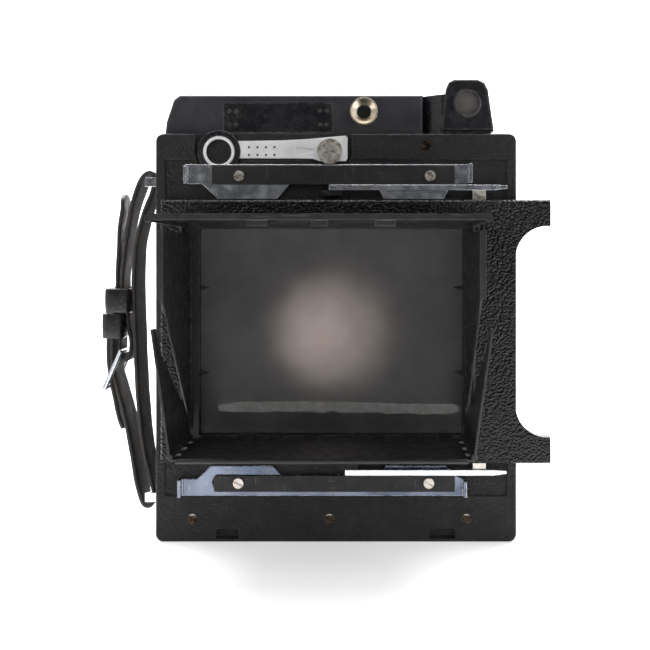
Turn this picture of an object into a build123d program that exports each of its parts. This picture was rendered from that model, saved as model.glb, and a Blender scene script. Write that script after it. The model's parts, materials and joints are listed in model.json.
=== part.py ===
"""Folding-bed press camera for 4x5 inch film, bed open and focusing hood up.

Millimetres, +Z up. The focusing back looks along -Y, the lens along +Y, +X is right as seen from behind.
The origin is the mouth of the tripod socket in the base.
"""

import os
from math import acos, atan2, cos, degrees, hypot, pi, radians, sin, sqrt, tan

from build123d import *

# ---- Body -------------------------------------------------------------------
BODY_W = 167.0  # over the frames, along X
BODY_H = 189.0
WORK_Y = -43.0  # face of the back frame that the panel rests on
BORDER_Y = -43.8  # raised border round that face
FRAME_FRONT_Y = -38.4  # where the back frame meets the shell
FRONT_Y = 48.0
WALL = 2.6
COVER_T = 0.8  # leather covering
RIM_Y = 43.5  # rear edge of the shell's front rim
FRONT_WALL_Y = 44.0
CORNER_R = 3.5

OPTIC_X = -2.0  # the optical axis, which is the middle of the ground glass
OPTIC_Z = 97.7
VIEW_W = 120.3  # ground glass that shows in the panel
VIEW_H = 94.1

# ---- Focusing panel ---------------------------------------------------------
PANEL_Y = -50.0  # rear face; hood depths are measured from here
PANEL_X0, PANEL_X1 = -80.0, 82.4
PANEL_Z0, PANEL_Z1 = 37.5, 158.0
HORN_X = 98.3  # the two horns each side of the film holder's finger gap
HORN_H = 12.0
HORN_CURVE_H = 13.0
GLASS_T = 2.0
GLASS_MARGIN = 2.3
GLASS_Y = -46.1  # rear face of the glass

# ---- Panel springs ----------------------------------------------------------
ARM_Y0, ARM_Y1 = -48.4, -47.2
ARM_H = 2.5
ARM_PIN_R = 0.8
ARM_PIN_Y = -46.6
POST_X0, POST_X1 = 63.0, 69.0

# ---- Hood: depths behind the panel, and sheet sizes --------------------------
SHEET = 0.8
HINGE_R = 1.0
HINGE_PIN_R = 0.5
HINGE_FIT = 0.05
KNUCKLE_GAP = 0.25
LEFT_X, LEFT_D = -66.0, 2.0  # hinge axis of each leaf
RIGHT_X, RIGHT_D = 59.4, 5.6
BOTTOM_Z, BOTTOM_D = 50.8, 10.3
TOP_Z, TOP_D = 147.3, 12.0
SIDE_DEPTH = 66.0
BOTTOM_DEPTH = 63.0
TOP_DEPTH = 95.0
SIDE_TOP_Z = 142.2
FLANGE = 2.2
WING_LEAN = 8.0  # degrees outward
WING_H = 51.5
WING_SLOPE = 0.82
LEAF_SLOPE = 0.92
WING_TUBE_R = 1.2
WING_TUBE_LIFT = 1.2
WING_LEFT_X, WING_RIGHT_X = -64.0, 57.4

# ---- Slide locks ------------------------------------------------------------
LOCK_Y0, LOCK_Y1 = -44.3, -43.1
STRIP_Y0, STRIP_Y1 = -45.8, -44.5
LOCK_TRAVEL = 9.0
BOSS_R = 3.0
SLOT_R = 3.3

# ---- Peep sight -------------------------------------------------------------
PEEP_X, PEEP_Z = -54.4, 180.7
PIVOT_X, PIVOT_Z = -2.9, 180.9
PEEP_OUTER_R, PEEP_INNER_R, PEEP_HOLE_R = 10.0, 7.3, 5.9
PEEP_Y0, PEEP_Y1 = -42.7, -41.4
POCKET_Y = -41.1

# ---- Bed --------------------------------------------------------------------
BED_Y, BED_Z = 46.0, 16.0  # hinge axis
BED_L = 147.0
BED_HALF_W = 72.0
BOX_HALF_W = 60.0
BOX_L = 140.0
DOOR_V0, DOOR_V1, BOX_V1 = -2.0, 1.0, 7.0  # heights over the hinge axis with the bed open
BED_START = 3.2
OPENING_HALF_W = 72.8
OPENING_Z0, OPENING_Z1 = 12.8, 163.8
BED_KNUCKLE_R, BED_PIN_R = 2.6, 1.5

# ---- Rails and focusing gear --------------------------------------------------
RAIL_X0, RAIL_X1 = 34.0, 42.0  # half-distances from the optical axis
RAIL_V0, RAIL_V1 = 7.1, 10.0
RAIL_START, RAIL_END = 8.0, 122.0
GEAR_MODULE = 0.5
PINION_TEETH = 12
PRESSURE = 20.0
BACKLASH = 0.2
SHAFT_U, SHAFT_V, SHAFT_R = 105.0, 4.7, 1.5
KNOB_R = 5.6

# ---- Braces -----------------------------------------------------------------
BRACE_BODY_Y, BRACE_BODY_Z = 36.0, 68.0
BRACE_BED_U, BRACE_BED_V = 52.0, 5.0
LINK_HALF = 3.0
LINK_T = 1.2
LINK_PIN_R = 1.4

# ---- Standard and lens --------------------------------------------------------
TRACK_TOP = BED_Z + RAIL_V1
CARRIAGE_Z0, CARRIAGE_Z1 = 26.2, 29.5
CARRIAGE_Y0, CARRIAGE_Y1 = -8.0, 28.0
CARRIAGE_HALF_W = 40.0
POST_HALF_IN, POST_HALF_OUT = 46.0, 50.0
STANDARD_TOP = 146.0
STANDARD_DEPTH = 9.0
BOARD_HALF = 44.5
BOARD_Y0, BOARD_Y1 = 3.0, 5.5
CASE_R = 31.0
CASE_Y0, CASE_Y1 = 5.5, 21.5
BARREL_R = 19.0
BARREL_Y1 = 33.0

# ---- Wire finder --------------------------------------------------------------
WIRE_R = 1.05
WIRE_X = 77.5
WIRE_Y = 46.2
WIRE_TOP = 191.8
WIRE_BOTTOM = 100.0
WIRE_BEND_R = 2.2
WIRE_FIT = 0.07

# ---- Top housings -------------------------------------------------------------
RF_TOP = 207.8
RF_Y0, RF_Y1 = -38.0, 30.0
HOUSING_WALL = 1.6


# ---- Helpers ------------------------------------------------------------------
def block(x, y, z):
    """A box from its (low, high) limits along each axis."""
    size = [max(limits) - min(limits) for limits in (x, y, z)]
    middle = [(limits[0] + limits[1]) / 2 for limits in (x, y, z)]
    return Pos(*middle) * Box(*size)


def along_x(y, z, radius, x):
    """A cylinder along X."""
    return Pos((x[0] + x[1]) / 2, y, z) * Rot(0, 90, 0) * Cylinder(radius, abs(x[1] - x[0]))


def along_y(x, z, radius, y):
    """A cylinder along Y."""
    return Pos(x, (y[0] + y[1]) / 2, z) * Rot(90, 0, 0) * Cylinder(radius, abs(y[1] - y[0]))


def along_z(x, y, radius, z):
    """A cylinder along Z."""
    return Pos(x, y, (z[0] + z[1]) / 2) * Cylinder(radius, abs(z[1] - z[0]))


def sheet_y(points, y):
    """A flat piece with an outline in X and Z, between two values of Y."""
    face = make_face(Polyline(*points, close=True))
    return extrude(Plane.XZ.offset(-max(y)) * face, amount=max(y) - min(y))


def sheet_x(points, x):
    """A flat piece with an outline in Y and Z, between two values of X."""
    face = make_face(Polyline(*points, close=True))
    return extrude(Plane.YZ.offset(min(x)) * face, amount=max(x) - min(x))


def rounded_y(x, z, radius, y):
    """A block along Y with its four long edges rounded."""
    face = RectangleRounded(x[1] - x[0], z[1] - z[0], radius)
    solid = extrude(Plane.XZ.offset(-max(y)) * face, amount=max(y) - min(y))
    return Pos((x[0] + x[1]) / 2, 0, (z[0] + z[1]) / 2) * solid


def mirrored_x(solid):
    """The same piece on the other side of the optical axis."""
    return Pos(2 * OPTIC_X, 0, 0) * mirror(solid, about=Plane.YZ)


def joined(pieces):
    """All the pieces as one solid."""
    total = pieces[0]
    for piece in pieces[1:]:
        total = total + piece
    return total


def hood_y(depth):
    """The Y of a depth behind the panel."""
    return PANEL_Y - depth


def knuckle_spans(start, end, count):
    """The (low, high) of each knuckle of a hinge, with a gap between neighbours."""
    pitch = (end - start) / count
    edge = KNUCKLE_GAP / 2
    return [(start + i * pitch + edge, start + (i + 1) * pitch - edge) for i in range(count)]


def slotted_head(x, z, radius, y_face, height, width=0.7):
    """A cheese head standing out of a face that looks along -Y, with its slot."""
    head = along_y(x, z, radius, (y_face - height, y_face))
    slot = Pos(x, y_face - height, z) * Rot(0, 25, 0) * Box(2.4 * radius, height, width)
    return head - slot


def centred(half):
    """X limits at a half-width each side of the optical axis."""
    return (OPTIC_X - half, OPTIC_X + half)


# ---- Body ---------------------------------------------------------------------
def outline_block(inset, y):
    """The body's outline, drawn in by an inset, between two values of Y."""
    half = BODY_W / 2 - inset
    return rounded_y((-half, half), (inset, BODY_H - inset), max(CORNER_R - inset, 0.8), y)


def opening_x():
    return centred(OPENING_HALF_W)


BUSH_R = 8.0
BED_FIXED_SPANS = ((-70.0, -62.0), (-8.0, 8.0), (62.0, 70.0))
BED_MOVING_SPANS = ((-61.7, -50.0), (50.0, 61.7))
CATCH_X, CATCH_Y, CATCH_R = 58.0, 38.0, 3.0


def body_shell():
    shell = outline_block(COVER_T, (FRAME_FRONT_Y, RIM_Y)) + outline_block(0, (RIM_Y, FRONT_Y))
    shell -= outline_block(COVER_T + WALL, (FRAME_FRONT_Y - 1, FRONT_WALL_Y))
    shell -= block(opening_x(), (FRONT_WALL_Y - 1, FRONT_Y + 1), (OPENING_Z0, OPENING_Z1))
    for side in (-1, 1):
        shell -= along_z(side * WIRE_X, WIRE_Y, WIRE_R + WIRE_FIT, (WIRE_BOTTOM - 1, BODY_H + 1))
    for low, high in BED_FIXED_SPANS:
        x = (OPTIC_X + low, OPTIC_X + high)
        shell += along_x(BED_Y, BED_Z, BED_KNUCKLE_R, x)
        shell += block(x, (FRONT_WALL_Y, BED_Y + 2), (OPENING_Z0 - 1, BED_Z))
    shell -= along_x(BED_Y, BED_Z, BED_PIN_R + HINGE_FIT, centred(BED_HALF_W))
    shell -= along_z(0, 0, BUSH_R + 0.02, (-1, 2 * WALL))
    shell -= along_z(CATCH_X, CATCH_Y, CATCH_R + HINGE_FIT, (BODY_H - 2 * WALL, BODY_H + 1))
    for side in (-1, 1):
        shell += brace_pin(side)
    return shell


def body_covering():
    ring = outline_block(0.05, (FRAME_FRONT_Y, RIM_Y)) - outline_block(COVER_T, (FRAME_FRONT_Y - 1, RIM_Y + 1))
    ring -= along_z(0, 0, BUSH_R + 0.05, (-1, 2))
    ring -= along_z(CATCH_X, CATCH_Y, CATCH_R + 1, (BODY_H - 2, BODY_H + 1))
    return ring


def strap_bracket_places():
    return (STRAP_TOP_Z, STRAP_BOTTOM_Z)


FRAME_SCREWS = ((-66.4, 10.7), (-3.0, 10.7), (60.3, 10.7), (41.5, 183.5))
FRAME_SCREW_R, FRAME_SHANK_R = 2.3, 1.2
UPPER_STRIP_SCREWS = ((-44.6, 169.2), (43.4, 169.2))
LOWER_STRIP_SCREWS = ((-44.9, 27.7), (42.8, 27.7))
STRIP_SCREW_R, STRIP_SHANK_R = 2.4, 1.3
WORK_Z0, WORK_Z1 = 21.2, 177.2
UPPER_ARM_X, LOWER_ARM_X = -2.0, 5.5
UPPER_ARM_Z, LOWER_ARM_Z = 162.5, 31.7
GATE_MARGIN = 1.5


def spring_block(x, block_z, pin_z):
    """The block that carries a panel spring, and the spring's pin."""
    base = block((x - 4.5, x + 4.5), (ARM_PIN_Y - 1.2, WORK_Y), block_z)
    return base + along_z(x, ARM_PIN_Y, ARM_PIN_R, pin_z)


def peep_pocket():
    """The recess that the folded peep sight lies in, and that it swings out of."""
    depth = (BORDER_Y - 1, POCKET_Y)
    ring = along_y(PEEP_X, PEEP_Z, PEEP_OUTER_R + 1, depth)
    root = along_y(PIVOT_X, PIVOT_Z, 10.4, depth)
    swing = block((PEEP_X - PEEP_OUTER_R - 1, PIVOT_X + 10.4), depth, (PIVOT_Z, BODY_H + 2))
    arm = block((-44.0, PIVOT_X), depth, (177.0, PIVOT_Z + 1))
    return ring + root + swing + arm


def back_frame():
    frame = outline_block(0, (BORDER_Y, FRAME_FRONT_Y))
    frame = fillet(frame.faces().sort_by(Axis.Y)[0].edges(), 0.9)
    recess_x = (-BODY_W / 2 + 4.2, BODY_W / 2 - 4.2)
    frame -= block(recess_x, (BORDER_Y - 1, WORK_Y), (WORK_Z0, WORK_Z1))
    seat_x = (PANEL_X0 - 0.4, BODY_W)
    frame -= block(seat_x, (BORDER_Y - 1, WORK_Y), (PANEL_Z0 - 0.4, PANEL_Z1 + 0.4))
    frame -= block(
        centred(VIEW_W / 2 - GATE_MARGIN),
        (BORDER_Y - 1, FRAME_FRONT_Y + 1),
        (OPTIC_Z - VIEW_H / 2 + GATE_MARGIN, OPTIC_Z + VIEW_H / 2 - GATE_MARGIN),
    )
    frame -= peep_pocket()
    for x0, x1 in ((-55.3, -45.0), (43.1, 55.0)):
        frame -= block((x0, x1), (BORDER_Y - 1, BORDER_Y + 2.0), (1.6, 6.2))
    upper, lower = UPPER_ARM_Z, LOWER_ARM_Z + ARM_H
    frame += spring_block(UPPER_ARM_X, (upper - 2.6, upper - 0.2), (upper - 1, upper + ARM_H))
    frame += spring_block(LOWER_ARM_X, (lower + 0.2, lower + 2.6), (LOWER_ARM_Z, lower + 1))
    for x, z in FRAME_SCREWS:
        frame -= along_y(x, z, FRAME_SHANK_R, (BORDER_Y - 1, FRAME_FRONT_Y - 1))
        frame -= along_y(x, z, FRAME_SCREW_R, (BORDER_Y - 1, BORDER_Y + 0.8))
    for x, z in UPPER_STRIP_SCREWS + LOWER_STRIP_SCREWS:
        frame -= along_y(x, z, STRIP_SHANK_R, (WORK_Y - 1, FRAME_FRONT_Y - 1))
    frame -= along_y(PIVOT_X, PIVOT_Z, PEEP_SHANK_R, (BORDER_Y, FRAME_FRONT_Y - 0.6))
    return frame


PEEP_SHANK_R = 1.8
BRACKET_SCREW_R = 1.1


def slotted_screws():
    screws = []
    for x, z in FRAME_SCREWS:
        head = slotted_head(x, z, FRAME_SCREW_R, BORDER_Y + 0.8, 1.0)
        screws.append(head + along_y(x, z, FRAME_SHANK_R, (BORDER_Y + 0.7, FRAME_FRONT_Y - 1)))
    for x, z in UPPER_STRIP_SCREWS + LOWER_STRIP_SCREWS:
        head = slotted_head(x, z, STRIP_SCREW_R, STRIP_Y0, 1.0)
        screws.append(head + along_y(x, z, STRIP_SHANK_R, (STRIP_Y0 - 0.1, FRAME_FRONT_Y - 1)))
    for z in strap_bracket_places():
        for y in bracket_screw_ys():
            head_x = -BODY_W / 2 - BRACKET_T
            head = along_x(y, z, 2 * BRACKET_SCREW_R, (head_x - 0.7, head_x))
            screws.append(head + along_x(y, z, BRACKET_SCREW_R, (head_x, -BODY_W / 2)))
    return Compound(children=screws)


def brace_pin(side):
    """The pin on the shell's side wall that the upper brace link turns on."""
    wall_x = BODY_W / 2 - COVER_T - WALL
    inner = OPTIC_X + side * LINK_IN
    head = along_x(BRACE_BODY_Y, BRACE_BODY_Z, 2.2, (inner - side * 1.1, inner - side * 0.2))
    return head + along_x(BRACE_BODY_Y, BRACE_BODY_Z, LINK_PIN_R, (side * (wall_x + 0.5), inner - side * 0.5))


LINK_IN = 66.0  # inner side of the upper link, from the optical axis
BUSH_HOLE_R, BUSH_DEPTH = 2.6, 8.0  # tapped hole of a quarter-inch tripod screw


def tripod_bush():
    bush = along_z(0, 0, BUSH_R, (0, COVER_T + WALL)) + along_z(0, 0, BUSH_R + 2, (COVER_T + WALL, 10.0))
    return bush - along_z(0, 0, BUSH_HOLE_R, (-1, BUSH_DEPTH))


TRACK_Y0, TRACK_Y1 = -22.0, 34.6
PLATE_V0 = 4.0


def body_tracks():
    floor = COVER_T + WALL
    plate = block(centred(46), (TRACK_Y0, TRACK_Y1), (BED_Z + PLATE_V0, BED_Z + BOX_V1))
    pieces = [plate]
    for side in (-1, 1):
        web = (OPTIC_X + side * 40, OPTIC_X + side * 44)
        pieces.append(block(web, (TRACK_Y0, TRACK_Y1), (floor, BED_Z + PLATE_V0)))
        rail = (OPTIC_X + side * RAIL_X0, OPTIC_X + side * RAIL_X1)
        pieces.append(block(rail, (TRACK_Y0, TRACK_Y1), (BED_Z + BOX_V1, TRACK_TOP)))
    return joined(pieces)


def bed_catch():
    button = along_z(CATCH_X, CATCH_Y, CATCH_R, (BODY_H - 6.0, BODY_H + 2.2))
    collar = along_z(CATCH_X, CATCH_Y, CATCH_R + 1.5, (BODY_H - 6.0, BODY_H - 5.0))
    return fillet(button.faces().sort_by(Axis.Z)[-1].edges(), 0.7) + collar


def bellows_section(half_w, half_h, y):
    return Plane.XZ.offset(-y) * Pos(OPTIC_X, OPTIC_Z) * RectangleRounded(2 * half_w, 2 * half_h, 3)


def bellows():
    skin = 2.5
    rear_y, front_y = FRAME_FRONT_Y, -0.3
    outer = loft([bellows_section(66, 53, rear_y), bellows_section(38, 42, front_y)])
    inner_rear = bellows_section(66 - skin, 53 - skin, rear_y)
    inner_front = bellows_section(38 - skin, 42 - skin, front_y)
    inner = loft([inner_rear, inner_front])
    return outer - inner


# ---- Rangefinder and viewfinder -------------------------------------------------
RF_X0, RF_X0_TOP, RF_X1 = -80.3, -75.0, 40.5
RF_EYE_X, RF_EYE_Z, RF_EYE_R, RF_EYE_HOLE_R = 12.9, 200.0, 6.5, 3.3
RF_BARREL_R = 5.6
RF_WINDOWS = (-62.0, 16.0)
WINDOW_HALF_W, WINDOW_HALF_H, WINDOW_Z = 7.0, 4.5, 198.5
PLATE_X, PLATE_Z = (-52.6, -2.0), (190.2, 203.9)
VF_EYE_X, VF_EYE_Z, VF_EYE_R = 61.1, 203.4, 6.4
VF_Y0, VF_Y1 = -41.0, 33.0
VF_TOP = 214.7


def housing_profile(inset):
    """Outline of the rangefinder housing seen from behind."""
    base = BODY_H + (0 if inset == 0 else -1)
    return (
        (RF_X0 + inset, base),
        (RF_X0 + 0.6 + inset, 195.0),
        (RF_X0_TOP - 1.2 + inset, RF_TOP - 2.2 - inset),
        (RF_X0_TOP + 1.6 + inset, RF_TOP - inset),
        (RF_X1 - inset, RF_TOP - inset),
        (RF_X1 - inset, base),
    )


def rangefinder_housing():
    housing = sheet_y(housing_profile(0), (RF_Y0, RF_Y1))
    ends = housing.faces().sort_by(Axis.Y)
    edges = [edge for edge in ends[0].edges() + ends[-1].edges() if edge.center().Z > BODY_H + 1]
    housing = chamfer(edges, 0.8)
    housing -= sheet_y(housing_profile(HOUSING_WALL), (RF_Y0 + HOUSING_WALL, RF_Y1 - HOUSING_WALL))
    housing -= block(PLATE_X, (RF_Y0 - 1, RF_Y0 + 0.8), PLATE_Z)
    housing -= along_y(RF_EYE_X, RF_EYE_Z, RF_BARREL_R, (RF_Y0 - 1, RF_Y0 + 4))
    for x in RF_WINDOWS:
        housing -= block(
            (x - WINDOW_HALF_W, x + WINDOW_HALF_W),
            (RF_Y1 - 4, RF_Y1 + 1),
            (WINDOW_Z - WINDOW_HALF_H, WINDOW_Z + WINDOW_HALF_H),
        )
    return housing


def rangefinder_plate():
    plate = block(PLATE_X, (RF_Y0 + 0.2, RF_Y0 + 0.8), PLATE_Z)
    for x in (PLATE_X[0] + 2.6, PLATE_X[0] + 5.6, PLATE_X[1] - 5.6, PLATE_X[1] - 2.6):
        for z in (PLATE_Z[0] + 3.6, PLATE_Z[1] - 3.6):
            plate += Pos(x, RF_Y0 + 0.2, z) * Sphere(0.7)
    return plate & block(PLATE_X, (RF_Y0 - 2, RF_Y0 + 0.8), PLATE_Z)


def rangefinder_eyepiece():
    ring = along_y(RF_EYE_X, RF_EYE_Z, RF_EYE_R, (RF_Y0 - 2.4, RF_Y0))
    ring += along_y(RF_EYE_X, RF_EYE_Z, RF_BARREL_R, (RF_Y0, RF_Y0 + 3.0))
    cone = Pos(RF_EYE_X, RF_Y0 - 1.4, RF_EYE_Z) * Rot(90, 0, 0) * Cone(RF_EYE_HOLE_R, RF_EYE_R - 0.5, 2.2)
    return ring - cone - along_y(RF_EYE_X, RF_EYE_Z, RF_EYE_HOLE_R, (RF_Y0 - 3, RF_Y0 + 4))


def tower_outline(base_z):
    """Outline of the viewfinder tower seen from behind."""
    return (
        (48.6, base_z),
        (51.2, 210.5),
        (52.4, 213.4),
        (54.8, VF_TOP),
        (66.0, VF_TOP),
        (69.0, 213.2),
        (70.7, 209.9),
        (73.5, base_z),
    )


def viewfinder_housing():
    tower = sheet_y(tower_outline(190.6), (VF_Y0, VF_Y1))
    tower = chamfer(tower.faces().sort_by(Axis.Y)[0].edges(), 0.7)
    tower += block((50.2, 72.0), (VF_Y0 + 1.2, VF_Y1 - 1), (BODY_H, 190.8))
    shoulder_outline = ((RF_X1, -33.0), (48.9, -40.0), (52.0, -40.0), (52.0, VF_Y1 - 3), (RF_X1, VF_Y1 - 3))
    shoulder = extrude(
        Pos(0, 0, BODY_H) * make_face(Polyline(*shoulder_outline, close=True)),
        amount=RF_TOP - BODY_H,
    )
    tower += shoulder
    tower -= along_y(VF_EYE_X, VF_EYE_Z, VF_EYE_R, (VF_Y0 - 1, VF_Y0 + 5))
    tower -= along_y(VF_EYE_X, VF_EYE_Z, VF_EYE_R - 1.5, (VF_Y0, VF_Y1 - 6))
    tower -= block((VF_EYE_X - 8, VF_EYE_X + 8), (VF_Y1 - 8, VF_Y1 + 1), (VF_EYE_Z - 6, VF_EYE_Z + 7))
    return tower


def viewfinder_eyepiece():
    ring = along_y(VF_EYE_X, VF_EYE_Z, VF_EYE_R, (VF_Y0 - 0.3, VF_Y0 + 2.2))
    return ring - along_y(VF_EYE_X, VF_EYE_Z, VF_EYE_R - 0.9, (VF_Y0 - 1, VF_Y0 + 3))


def finder_glass():
    panes = [along_y(RF_EYE_X, RF_EYE_Z, RF_BARREL_R - 0.6, (RF_Y0 + 3.0, RF_Y0 + 4.2))]
    for x in RF_WINDOWS:
        panes.append(
            block(
                (x - WINDOW_HALF_W, x + WINDOW_HALF_W),
                (RF_Y1 - 1.5, RF_Y1 - 0.5),
                (WINDOW_Z - WINDOW_HALF_H, WINDOW_Z + WINDOW_HALF_H),
            )
        )
    panes.append(along_y(VF_EYE_X, VF_EYE_Z, VF_EYE_R, (VF_Y0 + 2.2, VF_Y0 + 4.8)))
    front = block((VF_EYE_X - 8, VF_EYE_X + 8), (VF_Y1 - 4, VF_Y1 - 2), (VF_EYE_Z - 6, VF_EYE_Z + 7))
    panes.append(front)
    return Compound(children=panes)


# ---- Peep sight -----------------------------------------------------------------
def peep_arm():
    y = (PEEP_Y0, PEEP_Y1)
    arm = sheet_y(
        (
            (-49.0, 177.7),
            (PIVOT_X - 8, 177.5),
            (PIVOT_X - 5, 176.4),
            (PIVOT_X + 7.4, 176.4),
            (PIVOT_X + 8.2, 177.6),
            (PIVOT_X + 8.2, 187.2),
            (PIVOT_X + 7.2, 188.2),
            (PIVOT_X - 10, 186.6),
            (-24.0, 186.0),
            (-49.0, 185.6),
        ),
        y,
    )
    taper = ((-18.6, 178.7), (-18.6, 183.0), (-10.6, 181.9), (-10.6, 180.5))
    slot = sheet_y(taper, (PEEP_Y0 - 0.1, PEEP_Y0 + 0.5))
    ring = along_y(PEEP_X, PEEP_Z, PEEP_INNER_R, (PEEP_Y0 - 0.1, PEEP_Y1))
    arm = arm - along_y(PEEP_X, PEEP_Z, PEEP_OUTER_R + 0.1, (-60, 0)) - slot
    bridge = block((PEEP_X + 5.0, PEEP_X + 11.5), (PEEP_Y1 - 0.5, PEEP_Y1), (178.6, 183.2))
    arm = arm + ring + bridge
    arm -= along_y(PEEP_X, PEEP_Z, PEEP_HOLE_R, (-60, 0))
    return arm - along_y(PIVOT_X, PIVOT_Z, PEEP_SHANK_R + HINGE_FIT, (-60, 0))


def peep_ring():
    ring = along_y(PEEP_X, PEEP_Z, PEEP_OUTER_R, (PEEP_Y0 - 0.2, PEEP_Y1))
    ring -= along_y(PEEP_X, PEEP_Z, PEEP_INNER_R + 0.02, (-60, 0))
    return ring - block((PEEP_X, PEEP_X + 12), (PEEP_Y1 - 0.5, PEEP_Y1 + 1), (178.6, 183.2))


def peep_pivot_screw():
    washer = along_y(PIVOT_X, PIVOT_Z, 5.9, (PEEP_Y0 - 1.0, PEEP_Y0 - 0.15))
    head = slotted_head(PIVOT_X, PIVOT_Z, 4.1, PEEP_Y0 - 0.9, 1.6, 1.0)
    shank = along_y(PIVOT_X, PIVOT_Z, PEEP_SHANK_R, (PEEP_Y0 - 1.0, FRAME_FRONT_Y - 0.7))
    return washer + head + shank


# ---- Slide locks ----------------------------------------------------------------
def strip(x, z, screws):
    """The black bar over a slide lock, on two bosses."""
    bar = rounded_y(x, z, 0.8, (STRIP_Y0, STRIP_Y1))
    for sx, sz in screws:
        bar += along_y(sx, sz, BOSS_R, (STRIP_Y1 - 0.2, WORK_Y))
        bar -= along_y(sx, sz, STRIP_SHANK_R, (STRIP_Y0 - 1, WORK_Y + 1))
    return bar


def upper_lock_strip():
    return strip((-57.3, 54.9), (165.4, 174.0), UPPER_STRIP_SCREWS)


def lower_lock_strip():
    return strip((-56.2, 54.9), (23.6, 31.0), LOWER_STRIP_SCREWS)


def lock_slots(screws):
    """The slots that let a lock slide right past its bosses."""
    slots = []
    for x, z in screws:
        y = (LOCK_Y0 - 1, LOCK_Y1 + 1)
        slots.append(along_y(x, z, SLOT_R, y))
        slots.append(along_y(x - LOCK_TRAVEL, z, SLOT_R, y))
        slots.append(block((x - LOCK_TRAVEL, x), y, (z - SLOT_R, z + SLOT_R)))
    return joined(slots)


TAB_DEPTH = 4.0


def finger_tab(x, z):
    return block(x, (LOCK_Y0 - TAB_DEPTH, LOCK_Y1), z)


def slide_lock_upper():
    top, low, lug = 174.7, 165.6, 158.7
    plate = sheet_y(
        (
            (-69.9, top),
            (62.7, top),
            (62.7, 166.1),
            (53.0, low),
            (49.9, lug),
            (22.1, lug),
            (18.5, low),
            (-21.3, low),
            (-27.2, lug),
            (-54.5, lug),
            (-61.9, low),
            (-69.9, low),
        ),
        (LOCK_Y0, LOCK_Y1),
    )
    plate -= lock_slots(UPPER_STRIP_SCREWS)
    return plate + finger_tab((-69.9, -68.5), (low, top - 1)) + finger_tab((61.3, 62.7), (166.1, top))


def slide_lock_lower():
    bottom, high, lug = 20.9 + 0.6, 31.2, 35.4
    plate = sheet_y(
        (
            (-72.6, bottom),
            (60.2, bottom),
            (60.2, 28.7),
            (54.5, high),
            (50.8, lug),
            (23.0, lug),
            (19.5, high),
            (-25.5, high),
            (-29.3, lug),
            (-57.7, lug),
            (-64.0, 29.3),
            (-72.6, 29.3),
        ),
        (LOCK_Y0, LOCK_Y1),
    )
    plate -= lock_slots(LOWER_STRIP_SCREWS)
    return plate + finger_tab((-72.6, -71.2), (bottom, 29.3)) + finger_tab((58.8, 60.2), (bottom, 28.7))


# ---- Panel springs --------------------------------------------------------------
def spring_arm(x, z, end_x):
    """A flat spring from its pin to its free end, slightly tapered at the tip."""
    root = along_z(x, ARM_PIN_Y, ARM_PIN_R + 0.8, (z, z + ARM_H))
    neck = block((x - 0.8, x + 3.0), (ARM_Y0, ARM_PIN_Y), (z, z + ARM_H))
    blade = sheet_y(
        ((x, z), (end_x - 6, z), (end_x, z + 0.8), (end_x, z + ARM_H - 0.3), (end_x - 6, z + ARM_H), (x, z + ARM_H)),
        (ARM_Y0, ARM_Y1),
    )
    return root + neck + blade - along_z(x, ARM_PIN_Y, ARM_PIN_R + HINGE_FIT, (z - 1, z + ARM_H + 1))


def spring_arm_upper():
    return spring_arm(UPPER_ARM_X, UPPER_ARM_Z, 78.8)


def spring_arm_lower():
    return spring_arm(LOWER_ARM_X, LOWER_ARM_Z, 78.3)


def spring_posts():
    y = (-46.9, -44.6)
    upper = block((POST_X0, POST_X1), y, (PANEL_Z1, UPPER_ARM_Z + ARM_H))
    lower = block((POST_X0, POST_X1), y, (LOWER_ARM_Z, PANEL_Z0))
    return Compound(children=[upper, lower])


# ---- Focusing panel ---------------------------------------------------------------
VIEW_X = centred(VIEW_W / 2)
VIEW_Z = (OPTIC_Z - VIEW_H / 2, OPTIC_Z + VIEW_H / 2)


def glass_block(extra, y):
    margin = GLASS_MARGIN + extra
    return block((VIEW_X[0] - margin, VIEW_X[1] + margin), y, (VIEW_Z[0] - margin, VIEW_Z[1] + margin))


def panel_casting():
    low_horn = PANEL_Z0 + HORN_H
    high_horn = PANEL_Z1 - HORN_H
    sweep_x = HORN_X - (HORN_X - PANEL_X1) * sin(radians(45))
    bulge = HORN_CURVE_H * (1 - sin(radians(45)))
    outline = Polyline((PANEL_X0, PANEL_Z1), (PANEL_X0, PANEL_Z0), (HORN_X, PANEL_Z0), (HORN_X, low_horn))
    outline += ThreePointArc((HORN_X, low_horn), (sweep_x, low_horn + bulge), (PANEL_X1, low_horn + HORN_CURVE_H))
    outline += Line((PANEL_X1, low_horn + HORN_CURVE_H), (PANEL_X1, high_horn - HORN_CURVE_H))
    outline += ThreePointArc((PANEL_X1, high_horn - HORN_CURVE_H), (sweep_x, high_horn - bulge), (HORN_X, high_horn))
    outline += Polyline((HORN_X, high_horn), (HORN_X, PANEL_Z1), (PANEL_X0, PANEL_Z1))
    face = make_face(outline)
    panel = extrude(Plane.XZ.offset(-(WORK_Y - 0.1)) * face, amount=WORK_Y - 0.1 - PANEL_Y)
    long_edges = [edge for edge in panel.faces().sort_by(Axis.Y)[0].edges() if edge.length > 100]
    panel = chamfer(long_edges, 0.8)
    panel -= block(VIEW_X, (PANEL_Y - 1, WORK_Y + 1), VIEW_Z)
    return panel - glass_block(0.3, (GLASS_Y, WORK_Y + 1))


def ground_glass():
    return glass_block(0, (GLASS_Y, GLASS_Y + GLASS_T))


def glass_clips():
    clips = []
    for z in (117.8, 78.7):
        for edge, way in ((VIEW_X[0], 1), (VIEW_X[1], -1)):
            points = ((edge, z - 1.2), (edge + way * 4.5, z), (edge, z + 1.2))
            clips.append(sheet_y(points, (GLASS_Y - 0.5, GLASS_Y)))
    return Compound(children=clips)


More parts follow.
